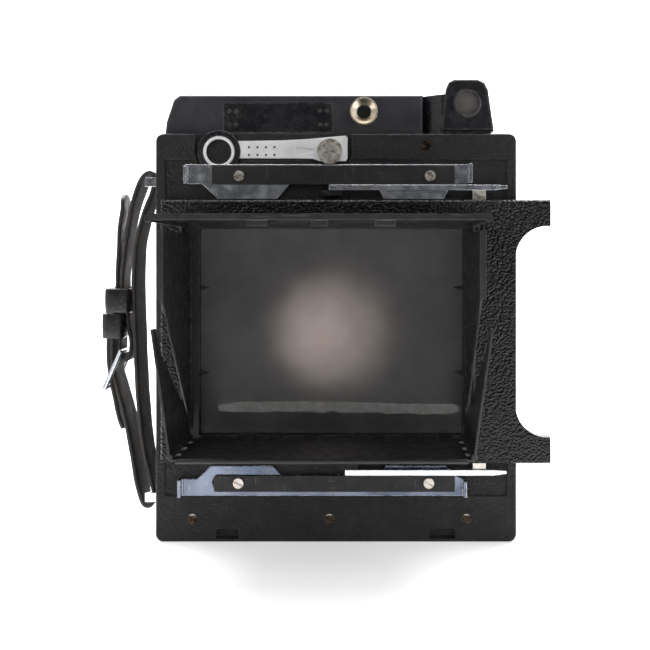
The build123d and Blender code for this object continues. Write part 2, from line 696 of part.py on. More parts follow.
# ---- Hood ---------------------------------------------------------------------------
WALL_X0, WALL_X1 = LEFT_X - 2.3, RIGHT_X + 2.3  # inner faces of the hood frame's side walls
WALL_Z0, WALL_Z1 = BOTTOM_Z - 3.1, TOP_Z + 2.0
FRAME_T = 0.8
SIDE_KNUCKLES = 17
CROSS_KNUCKLES = 15
SIDE_HINGE = (VIEW_Z[0] + 3.0, SIDE_TOP_Z - 0.5)
BOTTOM_HINGE = (WING_LEFT_X + 4.0, WING_RIGHT_X - 4.0)
TOP_HINGE = (LEFT_X + 4.0, RIGHT_X - 4.0)
PIN_CLEAR = HINGE_PIN_R + HINGE_FIT


def hood_walls():
    """The four low walls and the flange of the hood frame."""
    outer_x = (WALL_X0 - FRAME_T, WALL_X1 + FRAME_T)
    outer_z = (WALL_Z0 - FRAME_T, WALL_Z1 + FRAME_T)
    base = block(outer_x, (hood_y(FRAME_T), PANEL_Y), outer_z)
    pieces = [
        base - block(VIEW_X, (hood_y(2), PANEL_Y + 1), VIEW_Z),
        block((outer_x[0], WALL_X0), (hood_y(BOTTOM_D), PANEL_Y), outer_z),
        block((WALL_X1, outer_x[1]), (hood_y(BOTTOM_D), PANEL_Y), outer_z),
        block(outer_x, (hood_y(BOTTOM_D + 0.5), PANEL_Y), (outer_z[0], WALL_Z0)),
        block(outer_x, (hood_y(TOP_D + 0.2), PANEL_Y), (WALL_Z1, outer_z[1])),
    ]
    return joined(pieces)


def hood_frame():
    frame = hood_walls()
    tab = 0.6
    for index, z in enumerate(knuckle_spans(*SIDE_HINGE, SIDE_KNUCKLES)):
        if index % 2 == 0:
            frame += along_z(LEFT_X, hood_y(LEFT_D), HINGE_R, z)
            frame += block((WALL_X0 - 0.1, LEFT_X), (hood_y(LEFT_D + tab), hood_y(LEFT_D - tab)), z)
            frame += along_z(RIGHT_X, hood_y(RIGHT_D), HINGE_R, z)
            frame += block((RIGHT_X, WALL_X1 + 0.1), (hood_y(RIGHT_D + tab), hood_y(RIGHT_D - tab)), z)
    for index, x in enumerate(knuckle_spans(*BOTTOM_HINGE, CROSS_KNUCKLES)):
        if index % 2 == 0:
            frame += along_x(hood_y(BOTTOM_D), BOTTOM_Z, HINGE_R, x)
            frame += block(x, (hood_y(BOTTOM_D + 0.5), hood_y(BOTTOM_D - tab)), (WALL_Z0 - 0.1, BOTTOM_Z))
    for index, x in enumerate(knuckle_spans(*TOP_HINGE, CROSS_KNUCKLES)):
        if index % 2 == 0:
            frame += along_x(hood_y(TOP_D), TOP_Z, HINGE_R, x)
            frame += block(x, (hood_y(TOP_D + 0.2), hood_y(TOP_D - tab)), (TOP_Z, WALL_Z1 + 0.1))
    frame -= along_z(LEFT_X, hood_y(LEFT_D), PIN_CLEAR, (WALL_Z0, WALL_Z1))
    frame -= along_z(RIGHT_X, hood_y(RIGHT_D), PIN_CLEAR, (WALL_Z0, WALL_Z1))
    frame -= along_x(hood_y(BOTTOM_D), BOTTOM_Z, PIN_CLEAR, (WALL_X0, WALL_X1))
    return frame - along_x(hood_y(TOP_D), TOP_Z, PIN_CLEAR, (WALL_X0, WALL_X1))


def hood_hinge_pins():
    pins = [
        along_z(LEFT_X, hood_y(LEFT_D), HINGE_PIN_R, SIDE_HINGE),
        along_z(RIGHT_X, hood_y(RIGHT_D), HINGE_PIN_R, SIDE_HINGE),
        along_x(hood_y(BOTTOM_D), BOTTOM_Z, HINGE_PIN_R, BOTTOM_HINGE),
        along_x(hood_y(TOP_D), TOP_Z, HINGE_PIN_R, TOP_HINGE),
    ]
    return Compound(children=pins)


LEAF_GAP = HINGE_R + 0.35


def side_leaf(axis_x, axis_d, outward):
    """A standing leaf: knuckles, the plate with its slanted lower edge, and the lip along its free edge."""
    half = SHEET / 2
    plate_x = (axis_x - half, axis_x + half)
    start = axis_d + LEAF_GAP
    low_start = BOTTOM_Z + 2.5 + LEAF_SLOPE * start
    low_end = BOTTOM_Z + 2.5 + LEAF_SLOPE * SIDE_DEPTH
    leaf = sheet_x(
        (
            (hood_y(start), low_start),
            (hood_y(start), SIDE_TOP_Z),
            (hood_y(SIDE_DEPTH), SIDE_TOP_Z),
            (hood_y(SIDE_DEPTH), low_end),
        ),
        plate_x,
    )
    lip_x = (axis_x - half, axis_x + outward * FLANGE) if outward > 0 else (axis_x - FLANGE, axis_x + half)
    leaf += block(lip_x, (hood_y(SIDE_DEPTH), hood_y(SIDE_DEPTH - SHEET)), (low_end + 1, SIDE_TOP_Z))
    for index, z in enumerate(knuckle_spans(*SIDE_HINGE, SIDE_KNUCKLES)):
        if index % 2 == 1 and z[0] > low_start:
            leaf += along_z(axis_x, hood_y(axis_d), HINGE_R, z)
            leaf += block(plate_x, (hood_y(start + 0.1), hood_y(axis_d)), z)
    return leaf - along_z(axis_x, hood_y(axis_d), PIN_CLEAR, (WALL_Z0, WALL_Z1))


def hood_left_leaf():
    return side_leaf(LEFT_X, LEFT_D, -1)


def hood_right_leaf():
    return side_leaf(RIGHT_X, RIGHT_D, 1)


WING_Z = BOTTOM_Z + WING_TUBE_LIFT
WING_SPAN = (BOTTOM_D + 3.0, BOTTOM_DEPTH - 1.0)
WING_KNUCKLES = 7
WING_PIN_R = 0.6


def wing_knuckles(parity):
    """The Y limits of the wing-hinge knuckles of one leaf."""
    spans = knuckle_spans(*WING_SPAN, WING_KNUCKLES)
    return [(hood_y(high), hood_y(low)) for index, (low, high) in enumerate(spans) if index % 2 == parity]


def hood_bottom_leaf():
    half = SHEET / 2
    start = BOTTOM_D + LEAF_GAP
    plate_x = (WING_LEFT_X + 2.8, WING_RIGHT_X - 2.8)
    plate_z = (BOTTOM_Z - half, BOTTOM_Z + half)
    leaf = block(plate_x, (hood_y(BOTTOM_DEPTH), hood_y(start)), plate_z)
    leaf += along_x(hood_y(BOTTOM_DEPTH), BOTTOM_Z, 1.0, plate_x)
    for index, x in enumerate(knuckle_spans(*BOTTOM_HINGE, CROSS_KNUCKLES)):
        if index % 2 == 1:
            leaf += along_x(hood_y(BOTTOM_D), BOTTOM_Z, HINGE_R, x)
            leaf += block(x, (hood_y(start + 0.1), hood_y(BOTTOM_D)), plate_z)
    for y in wing_knuckles(0):
        for x, way in ((WING_LEFT_X, 1), (WING_RIGHT_X, -1)):
            leaf += along_y(x, WING_Z, WING_TUBE_R, y)
            leaf += block((x, x + way * 3.0), y, (BOTTOM_Z - half, BOTTOM_Z + half))
    for x in (WING_LEFT_X, WING_RIGHT_X):
        leaf -= along_y(x, WING_Z, WING_PIN_R + HINGE_FIT, (hood_y(BOTTOM_DEPTH + 2), hood_y(BOTTOM_D)))
    return leaf - along_x(hood_y(BOTTOM_D), BOTTOM_Z, PIN_CLEAR, (WALL_X0, WALL_X1))


def wing(axis_x, outward):
    """A wing standing on the bottom leaf's edge, leaning outward, with its step near the top and its pin."""
    half = SHEET / 2
    low = WING_TUBE_R + 0.3
    tall = WING_H
    end = BOTTOM_DEPTH - 1.2
    slope_start = BOTTOM_D + 3.4
    slope_h = WING_SLOPE * slope_start
    step_d = 47.0
    step_h = WING_SLOPE * step_d
    points = (
        (hood_y(slope_start), low),
        (hood_y(slope_start), slope_h - 1.5),
        (hood_y(step_d - 4), step_h - 5.5),
        (hood_y(step_d - 4), step_h - 1.0),
        (hood_y(step_d + 3), step_h - 1.0),
        (hood_y(step_d + 8), tall),
        (hood_y(end), tall),
        (hood_y(end), low),
    )
    plate = sheet_x(points, (-half, half))
    for y in wing_knuckles(1):
        plate += along_y(0, 0, WING_TUBE_R, y)
        plate += block((-half, half), y, (0, low + 0.1))
    plate += along_y(0, 0, WING_PIN_R, (hood_y(WING_SPAN[1]), hood_y(WING_SPAN[0])))
    return Pos(axis_x, 0, WING_Z) * Rot(0, outward * WING_LEAN, 0) * plate


def hood_left_wing():
    return wing(WING_LEFT_X, -1)


def hood_right_wing():
    return wing(WING_RIGHT_X, 1)


def hood_top_leaf():
    half = SHEET / 2
    start = TOP_D + LEAF_GAP
    plate_x = (LEFT_X + 0.4, RIGHT_X + 0.2)
    rim_z = (TOP_Z - 2.6, TOP_Z + half)
    leaf = block(plate_x, (hood_y(TOP_DEPTH), hood_y(start)), (TOP_Z - half, TOP_Z + half))
    for x in ((plate_x[0], plate_x[0] + SHEET), (plate_x[1] - SHEET, plate_x[1])):
        leaf += block(x, (hood_y(TOP_DEPTH), hood_y(start + 2)), rim_z)
    leaf += block(plate_x, (hood_y(TOP_DEPTH), hood_y(TOP_DEPTH - SHEET)), (TOP_Z - 2.0, TOP_Z + half))
    for x in ((-29.6, -21.9), (17.7, 25.3), (-5.8, 0.4)):
        leaf += block(x, (hood_y(TOP_DEPTH - 2.4), hood_y(TOP_DEPTH - 0.6)), (TOP_Z - 4.2, TOP_Z))
    for x in plate_x:
        leaf += Pos(x, hood_y(TOP_DEPTH - 1.4), TOP_Z - 1.4) * Rot(90, 0, 0) * Cylinder(1.3, 2.8)
    for index, x in enumerate(knuckle_spans(*TOP_HINGE, CROSS_KNUCKLES)):
        if index % 2 == 1:
            leaf += along_x(hood_y(TOP_D), TOP_Z, HINGE_R, x)
            leaf += block(x, (hood_y(start + 0.1), hood_y(TOP_D)), (TOP_Z - half, TOP_Z + half))
    return leaf - along_x(hood_y(TOP_D), TOP_Z, PIN_CLEAR, (WALL_X0, WALL_X1))


# ---- Bed ------------------------------------------------------------------------------
def bed_y(u):
    """The Y of a distance along the open bed."""
    return BED_Y + u


def bed_z(v):
    """The Z of a height over the hinge axis."""
    return BED_Z + v


def bed_block(x, u, v):
    return block(x, (bed_y(u[0]), bed_y(u[1])), (bed_z(v[0]), bed_z(v[1])))


def sided(side, x):
    """X limits on one side of the optical axis, from half-distances."""
    return tuple(sorted((OPTIC_X + side * x[0], OPTIC_X + side * x[1])))


PINION_X = (35.0, 41.0)
RACK_U = (82.0, 112.0)
RACK_ROOT_V = 8.3
GUIDE_IN, GUIDE_OUT = 42.1, 46.0
KNOB_X = (61.2, 69.0)


def bed_plate():
    door = bed_block(centred(BED_HALF_W), (BED_START, BED_L), (DOOR_V0, DOOR_V1))
    door = chamfer(door.faces().sort_by(Axis.Z)[0].edges().sort_by(Axis.Y)[1:], 0.6)
    bed = door + bed_block(centred(BOX_HALF_W), (BED_START, BOX_L), (DOOR_V1 - 0.1, BOX_V1))
    for side in (-1, 1):
        bed += bed_block(sided(side, (GUIDE_IN, GUIDE_OUT)), (10, 138), (BOX_V1, RAIL_V1 + 1))
        bed += bed_block(sided(side, (GUIDE_IN - 1.1, GUIDE_OUT)), (10, 138), (RAIL_V1 + 0.1, RAIL_V1 + 1))
        pocket = sided(side, (PINION_X[0] - 0.5, PINION_X[1] + 0.5))
        bed -= bed_block(pocket, (SHAFT_U - 4.5, SHAFT_U + 4.5), (1.05, BOX_V1 + 0.05))
        recess = sided(side, (BOX_HALF_W, KNOB_X[1] + 0.4))
        bed -= bed_block(recess, (SHAFT_U - KNOB_R - 0.5, SHAFT_U + KNOB_R + 0.5), (SHAFT_V - KNOB_R - 0.3, SHAFT_V))
    for low, high in BED_MOVING_SPANS:
        x = (OPTIC_X + low, OPTIC_X + high)
        bed += along_x(BED_Y, BED_Z, BED_KNUCKLE_R, x)
        bed += bed_block(x, (0, BED_START + 0.1), (DOOR_V0, DOOR_V1))
    bed -= along_x(bed_y(SHAFT_U), bed_z(SHAFT_V), SHAFT_R + 0.08, centred(BED_HALF_W))
    bed -= along_x(BED_Y, BED_Z, BED_PIN_R + HINGE_FIT, centred(BED_HALF_W))
    for side in (-1, 1):
        bed += bed_pin(side)
    return bed


def bed_pin(side):
    """The pin on the bed's box that the lower brace link turns on."""
    y, z = bed_y(BRACE_BED_U), bed_z(BRACE_BED_V)
    inner = OPTIC_X + side * (BOX_HALF_W - 0.5)
    outer = OPTIC_X + side * LOWER_LINK_OUT
    return along_x(y, z, LINK_PIN_R, (inner, outer + side * 0.3)) + along_x(
        y, z, 2.2, (outer + side * 0.15, outer + side * 0.9)
    )


LOWER_LINK_OUT = 64.6
LOWER_LINK_IN = LOWER_LINK_OUT - LINK_T
UPPER_LINK_OUT = LINK_IN + LINK_T


def bed_hinge_pin():
    return along_x(BED_Y, BED_Z, BED_PIN_R, (OPTIC_X + BED_FIXED_SPANS[0][0], OPTIC_X + BED_FIXED_SPANS[-1][1]))


def rack_teeth(side):
    """Straight teeth pointing down under a rail, in mesh with the pinion at rest."""
    pitch = pi * GEAR_MODULE
    pitch_v = SHAFT_V + GEAR_MODULE * PINION_TEETH / 2
    tip_v, root_v = pitch_v - 0.9 * GEAR_MODULE, RACK_ROOT_V
    half = pitch / 4 - BACKLASH / 2
    lean = tan(radians(PRESSURE))
    half_tip = half - (pitch_v - tip_v) * lean
    half_root = half + (root_v - pitch_v) * lean
    count = int((RACK_U[1] - RACK_U[0]) / pitch)
    first = SHAFT_U + pitch / 2 - pitch * round((SHAFT_U - RACK_U[0]) / pitch)
    teeth = []
    for index in range(count):
        u = first + index * pitch
        outline = (
            (bed_y(u - half_root), bed_z(root_v + 0.05)),
            (bed_y(u - half_tip), bed_z(tip_v)),
            (bed_y(u + half_tip), bed_z(tip_v)),
            (bed_y(u + half_root), bed_z(root_v + 0.05)),
        )
        teeth.append(sheet_x(outline, sided(side, PINION_X)))
    return teeth


def focus_rails():
    pieces = []
    for side in (-1, 1):
        rail = bed_block(sided(side, (RAIL_X0, RAIL_X1)), (RAIL_START, RAIL_END), (RAIL_V0, RAIL_V1))
        groove = sided(side, (PINION_X[0] - 0.5, PINION_X[1] + 0.5))
        rail -= bed_block(groove, (RACK_U[0] - 4, RACK_U[1] + 2), (RAIL_V0 - 1, RACK_ROOT_V))
        pieces.append(rail)
        pieces += rack_teeth(side)
    pieces.append(bed_block(centred(RAIL_X0 + 0.1), (RAIL_END - 6, RAIL_END), (RAIL_V0, RAIL_V1)))
    pieces.append(bed_block(centred(8), (RAIL_END - 3, RAIL_END), (RAIL_V1 - 0.1, RAIL_V1 + 3.0)))
    return joined(pieces)


def involute(radius_base, roll):
    """A point of an involute, as (radius, angle)."""
    radius = radius_base * sqrt(1 + roll * roll)
    return radius, roll - acos(radius_base / radius)


def pinion_outline():
    """One gear's outline about the origin, with a tooth pointing along +Y of the sketch."""
    pitch_r = GEAR_MODULE * PINION_TEETH / 2
    base_r = pitch_r * cos(radians(PRESSURE))
    tip_r = pitch_r + 0.9 * GEAR_MODULE
    root_r = pitch_r - 1.2 * GEAR_MODULE
    pressure_angle = tan(radians(PRESSURE)) - radians(PRESSURE)
    half_tooth = (pi * GEAR_MODULE / 4 - BACKLASH / 2) / pitch_r
    roll_tip = sqrt((tip_r / base_r) ** 2 - 1)
    steps = 3
    flank = [involute(base_r, roll_tip * i / steps) for i in range(steps + 1)]
    points = []
    for tooth in range(PINION_TEETH):
        middle = pi / 2 - 2 * pi * tooth / PINION_TEETH
        rise = [(root_r, -half_tooth - pressure_angle - 0.03)]
        rise += [(r, -half_tooth - pressure_angle + angle) for r, angle in flank]
        fall = [(r, -angle) for r, angle in reversed(rise)]
        for r, angle in rise + fall:
            points.append((r * cos(middle - angle), r * sin(middle - angle)))
    return points


def focus_shaft():
    shaft = along_x(bed_y(SHAFT_U), bed_z(SHAFT_V), SHAFT_R, centred(KNOB_X[0] + 4))
    for side in (-1, 1):
        face = make_face(Polyline(*pinion_outline(), close=True))
        x = sided(side, PINION_X)
        gear = extrude(Plane.YZ.offset(x[0]) * face, amount=x[1] - x[0])
        shaft += Pos(0, bed_y(SHAFT_U), bed_z(SHAFT_V)) * gear
    return shaft


def focus_knobs():
    knobs = []
    ridges = 24
    for side in (-1, 1):
        x = sided(side, KNOB_X)
        y, z = bed_y(SHAFT_U), bed_z(SHAFT_V)
        knob = along_x(y, z, KNOB_R, x)
        for index in range(ridges):
            angle = 2 * pi * index / ridges
            groove_y, groove_z = y + KNOB_R * cos(angle), z + KNOB_R * sin(angle)
            knob -= along_x(groove_y, groove_z, 0.35, sided(side, (KNOB_X[0] + 1, KNOB_X[1] - 1)))
        knob -= along_x(y, z, SHAFT_R, sided(side, (KNOB_X[0] - 1, KNOB_X[0] + 4)))
        knobs.append(knob)
    return Compound(children=knobs)


# ---- Braces -----------------------------------------------------------------------------
KNEE_Y = (bed_y(BRACE_BED_U) + BRACE_BODY_Y) / 2
KNEE_Z = (bed_z(BRACE_BED_V) + BRACE_BODY_Z) / 2


def link(start, end, x, rivet_x):
    """A flat link between two points in Y and Z, with a hole at its start and a rivet head at the knee."""
    length = hypot(end[0] - start[0], end[1] - start[1])
    along = ((end[0] - start[0]) / length, (end[1] - start[1]) / length)
    across = (-along[1] * LINK_HALF, along[0] * LINK_HALF)
    outline = (
        (start[0] + across[0], start[1] + across[1]),
        (end[0] + across[0], end[1] + across[1]),
        (end[0] - across[0], end[1] - across[1]),
        (start[0] - across[0], start[1] - across[1]),
    )
    bar = sheet_x(outline, x)
    for y, z in (start, end):
        bar += along_x(y, z, LINK_HALF, x)
    bar += along_x(end[0], end[1], 2.0, rivet_x)
    return bar - along_x(start[0], start[1], LINK_PIN_R + 0.08, (x[0] - 3, x[1] + 3))


def body_link(side):
    x = sided(side, (LINK_IN, UPPER_LINK_OUT))
    rivet = sided(side, (UPPER_LINK_OUT - 0.1, UPPER_LINK_OUT + 0.8))
    return link((BRACE_BODY_Y, BRACE_BODY_Z), (KNEE_Y, KNEE_Z), x, rivet)


def bed_link(side):
    x = sided(side, (LOWER_LINK_IN, LOWER_LINK_OUT))
    rivet = sided(side, (LOWER_LINK_IN - 0.8, LOWER_LINK_IN + 0.1))
    return link((bed_y(BRACE_BED_U), bed_z(BRACE_BED_V)), (KNEE_Y, KNEE_Z), x, rivet)


# ---- Standard and lens --------------------------------------------------------------------
LOCK_LEVER_Y = 31.2


def carriage():
    base = block(centred(CARRIAGE_HALF_W), (CARRIAGE_Y0, CARRIAGE_Y1), (CARRIAGE_Z0, CARRIAGE_Z1))
    for side in (-1, 1):
        base += block(sided(side, (30.2, 33.7)), (CARRIAGE_Y0, CARRIAGE_Y1), (23.5, CARRIAGE_Z0 + 0.1))
    shelf = (CARRIAGE_Z0, CARRIAGE_Z0 + 1.6)
    base += block((OPTIC_X - 5, OPTIC_X + 5), (CARRIAGE_Y1 - 0.1, LOCK_LEVER_Y + 2.4), shelf)
    return base + along_z(OPTIC_X, LOCK_LEVER_Y, 1.5, (CARRIAGE_Z0, CARRIAGE_Z0 + 6.0))


def carriage_lock():
    z = (CARRIAGE_Z0 + 2.0, CARRIAGE_Z0 + 3.6)
    lever = along_z(OPTIC_X, LOCK_LEVER_Y, 3.0, (z[0], z[1] + 1.4))
    lever += block((OPTIC_X, OPTIC_X + 17), (LOCK_LEVER_Y - 1.6, LOCK_LEVER_Y + 1.6), z)
    lever += along_z(OPTIC_X + 17, LOCK_LEVER_Y, 2.6, (z[0], z[1] + 1.0))
    return lever - along_z(OPTIC_X, LOCK_LEVER_Y, 1.5 + HINGE_FIT, (z[0] - 1, z[1] + 4))


def standard_frame():
    base = block(centred(POST_HALF_OUT), (0, STANDARD_DEPTH), (CARRIAGE_Z1, CARRIAGE_Z1 + 3.5))
    frame = base + block(centred(POST_HALF_IN + 1), (0, 2.4), (CARRIAGE_Z1 + 3, STANDARD_TOP))
    height = (CARRIAGE_Z1, STANDARD_TOP)
    for side in (-1, 1):
        frame += block(sided(side, (POST_HALF_IN, POST_HALF_OUT)), (0, STANDARD_DEPTH), height)
        frame += block(sided(side, (43.5, POST_HALF_IN + 1)), (6.0, 7.4), (48, STANDARD_TOP))
        frame -= along_y(OPTIC_X + side * 48, STANDARD_TOP - 4, 1.6, (STANDARD_DEPTH - 2, STANDARD_DEPTH + 1))
    window = rounded_y(centred(30), (66, 140), 6, (-1, 2.6))
    lower = rounded_y(centred(34), (38, 58), 4, (-1, 2.6))
    return frame - window - lower


def lens_panel():
    height = (OPTIC_Z - BOARD_HALF, OPTIC_Z + BOARD_HALF)
    board = rounded_y(centred(BOARD_HALF + 1.2), height, 2, (BOARD_Y0, BOARD_Y1))
    return board - along_y(OPTIC_X, OPTIC_Z, 17.0, (BOARD_Y0 - 1, BOARD_Y1 + 1))


RING_Y = (CASE_Y1 + 0.15, CASE_Y1 + 3.4)
RING_R, RING_HOLE_R = 29.0, 20.5
LEVER_Y = (CASE_Y0 + 6.0, CASE_Y0 + 7.8)
APERTURE_R = 7.0


def ring_y(outer, inner, y):
    """A ring about the lens axis."""
    return along_y(OPTIC_X, OPTIC_Z, outer, y) - along_y(OPTIC_X, OPTIC_Z, inner, (y[0] - 1, y[1] + 1))


def polar(radius, angle):
    """A point about the lens axis: the angle is anticlockwise from +X, seen from the lens side's rear."""
    return OPTIC_X + radius * cos(radians(angle)), OPTIC_Z + radius * sin(radians(angle))


def shutter_case():
    case = along_y(OPTIC_X, OPTIC_Z, CASE_R, (CASE_Y0, CASE_Y1))
    case = fillet(case.edges().sort_by(Axis.Y)[-1:], 1.2)
    case -= along_y(OPTIC_X, OPTIC_Z, 15.0, (CASE_Y0 - 1, CASE_Y1 + 1))
    case += ring_y(20.0, 15.0, (CASE_Y1 - 1, RING_Y[1]))
    case += ring_y(15.2, APERTURE_R, (13.0, 13.8))
    x, z = polar(27.0, 118)
    case += along_y(x, z, 7.5, (CASE_Y0, CASE_Y1)) & along_y(OPTIC_X, OPTIC_Z, 36, (CASE_Y0, CASE_Y1))
    lever_slot = ring_y(CASE_R + 1, CASE_R - 3.0, (LEVER_Y[0] - 0.25, LEVER_Y[1] + 0.25))
    wedge = block((OPTIC_X - 30, OPTIC_X + 30), (LEVER_Y[0] - 1, LEVER_Y[1] + 1), (OPTIC_Z - 40, OPTIC_Z - 12))
    case -= lever_slot & wedge
    for angle in COCK_ANGLE, RELEASE_ANGLE:
        x, z = polar(CASE_R + 3.0, angle)
        ear = along_y(x, z, 3.4, (CASE_Y0 + 2, CASE_Y1 - 6)) + along_y(x, z, 1.2, (CASE_Y1 - 7, CASE_Y1 - 1.8))
        case += ear
    return case


COCK_ANGLE, RELEASE_ANGLE = 60.0, 205.0
SWING_Y = (CASE_Y1 - 5.8, CASE_Y1 - 4.0)


def small_lever(angle, reach, tilt):
    """A pivoted lever on the side of the shutter, with a rounded finger end."""
    x, z = polar(CASE_R + 3.0, angle)
    away = radians(angle + tilt)
    tip = (x + reach * cos(away), z + reach * sin(away))
    across = (-sin(away) * 1.5, cos(away) * 1.5)
    bar = sheet_y(
        (
            (x + across[0], z + across[1]),
            (tip[0] + across[0], tip[1] + across[1]),
            (tip[0] - across[0], tip[1] - across[1]),
            (x - across[0], z - across[1]),
        ),
        SWING_Y,
    )
    bar += along_y(x, z, 2.6, SWING_Y)
    bar += along_y(tip[0], tip[1], 2.2, (SWING_Y[0], SWING_Y[1] + 1.5))
    return bar - along_y(x, z, 1.2 + HINGE_FIT, (SWING_Y[0] - 1, SWING_Y[1] + 1))


def cocking_lever():
    return small_lever(COCK_ANGLE, 9.0, -20)


def release_lever():
    return small_lever(RELEASE_ANGLE, 8.0, 15)


def aperture_lever():
    arc = ring_y(CASE_R + 0.2, CASE_R - 2.6, LEVER_Y)
    wedge = block((OPTIC_X - 5, OPTIC_X + 5), (LEVER_Y[0] - 1, LEVER_Y[1] + 1), (OPTIC_Z - 40, OPTIC_Z - 20))
    x, z = polar(CASE_R + 2.5, 270)
    pointer = block((x - 1.5, x + 1.5), LEVER_Y, (z - 2.6, z + 3.0))
    return (arc & wedge) + pointer


def speed_ring():
    ring = ring_y(RING_R, RING_HOLE_R - 0.42, RING_Y)
    ridges = 60
    for index in range(ridges):
        x, z = polar(RING_R, 360 * index / ridges)
        ring -= along_y(x, z, 0.5, (RING_Y[0] + 0.6, RING_Y[1] - 0.6))
    return ring


def lens_barrel():
    seat_y = RING_Y[1] + 0.2
    front = ring_y(BARREL_R, 16.0, (seat_y, BARREL_Y1)) + ring_y(16.1, 12.5, (seat_y, 27.0))
    neck = ring_y(14.9, 12.5, (15.0, seat_y + 0.1))
    rear = ring_y(16.0, 12.5, (-9.0, BOARD_Y0 - 0.3)) + ring_y(14.9, 12.5, (BOARD_Y0 - 0.4, 12.5))
    return Compound(children=[front + neck, rear])


def lens_glass():
    front = along_y(OPTIC_X, OPTIC_Z, 15.9, (27.0, 29.0))
    dome_r = 40.0
    dome = Pos(OPTIC_X, 31.0 - dome_r, OPTIC_Z) * Sphere(dome_r)
    front += dome & along_y(OPTIC_X, OPTIC_Z, 15.9, (28.0, 32.0))
    rear = along_y(OPTIC_X, OPTIC_Z, 12.4, (-6.0, -3.0))
    return Compound(children=[front, rear])


def wire_finder():
    path = FilletPolyline(
        (-WIRE_X, WIRE_Y, WIRE_BOTTOM),
        (-WIRE_X, WIRE_Y, WIRE_TOP),
        (WIRE_X, WIRE_Y, WIRE_TOP),
        (WIRE_X, WIRE_Y, WIRE_BOTTOM),
        radius=WIRE_BEND_R,
    )
    start = Plane(origin=(-WIRE_X, WIRE_Y, WIRE_BOTTOM), z_dir=(0, 0, 1))
    return sweep(start * Circle(WIRE_R), path=path)


# ---- Strap --------------------------------------------------------------------------------
STRAP_Y0, STRAP_Y1 = -21.0, -1.0
STRAP_T = 2.4
STRAP_TOP_Z, STRAP_BOTTOM_Z = 168.0, 16.0
BRACKET_T = 1.2
BRACKET_REACH = 8.0  # how far the bracket's bar stands off the body
BRACKET_ROD_R = 1.3


def bracket_screw_ys():
    return (STRAP_Y0 - 5.6, STRAP_Y1 + 5.6)


def strap_brackets():
    """A wire loop on two feet at each end of the strap."""
    side = -BODY_W / 2
    brackets = []
    for z in strap_bracket_places():
        bar_x = side - BRACKET_REACH
        legs = []
        for y, way in ((STRAP_Y0 - 1.2, -1), (STRAP_Y1 + 1.2, 1)):
            legs.append(block((bar_x - BRACKET_ROD_R, side), sorted((y, y + way * 1.6)), (z - 2.2, z + 2.2)))
            legs.append(block((side - BRACKET_T, side), sorted((y, y + way * 8.0)), (z - 2.6, z + 2.6)))
        bar = along_y(bar_x, z, BRACKET_ROD_R, (STRAP_Y0 - 2.0, STRAP_Y1 + 2.0))
        bracket = joined(legs) + bar
        for y in bracket_screw_ys():
            bracket -= along_x(y, z, BRACKET_SCREW_R, (side - 2 * BRACKET_T, side + 1))
        brackets.append(bracket)
    return Compound(children=brackets)


def ribbon(points, y):
    """A strap of even thickness that follows a smooth line in X and Z."""
    line = Spline(*[(x, z) for x, z in points])
    count = 36
    middle = [line @ (i / count) for i in range(count + 1)]
    slopes = [line % (i / count) for i in range(count + 1)]
    half = STRAP_T / 2
    left = [(p.X - t.Y * half, p.Y + t.X * half) for p, t in zip(middle, slopes)]
    right = [(p.X + t.Y * half, p.Y - t.X * half) for p, t in zip(middle, slopes)]
    return sheet_y(left + right[::-1], y)


def strap():
    bar_x = -BODY_W / 2 - BRACKET_REACH
    inner = (
        (bar_x + 2.9, STRAP_TOP_Z - 1.0),
        (bar_x - 2.6, 152.0),
        (bar_x - 6.4, 134.0),
        (bar_x - 7.0, 105.0),
        (bar_x - 5.8, 75.0),
        (bar_x - 2.6, 38.0),
        (bar_x + 2.9, STRAP_BOTTOM_Z + 1.0),
    )
    outer = (
        (bar_x - 2.9, STRAP_TOP_Z - 1.0),
        (bar_x - 9.8, 150.0),
        (bar_x - 13.6, 125.0),
        (bar_x - 17.0, 104.0),
        (bar_x - 19.6, 84.0),
        (bar_x - 15.0, 64.0),
        (bar_x - 8.6, 40.0),
        (bar_x - 2.9, STRAP_BOTTOM_Z + 1.0),
    )
    y = (STRAP_Y0, STRAP_Y1)
    loop = ribbon(inner, y) + ribbon(outer, y)
    wrap_r = 2.9 + STRAP_T / 2
    for z, keep in ((STRAP_TOP_Z, (-1.0, 9.0)), (STRAP_BOTTOM_Z, (-9.0, 1.0))):
        bend = along_y(bar_x, z, wrap_r, y) - along_y(bar_x, z, wrap_r - STRAP_T, (y[0] - 1, y[1] + 1))
        loop += bend & block((bar_x - 9, bar_x + 9), (y[0] - 1, y[1] + 1), (z + keep[0], z + keep[1]))
    return loop


KEEPER_T = 1.2
KEEPER_H = 11.8
KEEPERS = ((-15.0, 6.1, 110.9), (-17.4, 5.2, 98.6))  # offset from the bar, half width, height of the middle
BUCKLE_LOW, BUCKLE_HIGH = (-20.9, 68.5), (-13.4, 86.0)  # offset from the bar, height
BUCKLE_R = 1.2


def strap_keepers():
    bar_x = -BODY_W / 2 - BRACKET_REACH
    y = (STRAP_Y0 - 1.6, STRAP_Y1 + 1.6)
    keepers = []
    for offset, half, z in KEEPERS:
        x = (bar_x + offset - half, bar_x + offset + half)
        outer = rounded_box_z(x, y, 2.0, (z - KEEPER_H / 2, z + KEEPER_H / 2))
        inner_x = (x[0] + KEEPER_T, x[1] - KEEPER_T)
        inner_y = (y[0] + KEEPER_T, y[1] - KEEPER_T)
        keepers.append(outer - rounded_box_z(inner_x, inner_y, 0.9, (z - KEEPER_H, z + KEEPER_H)))
    return Compound(children=keepers)


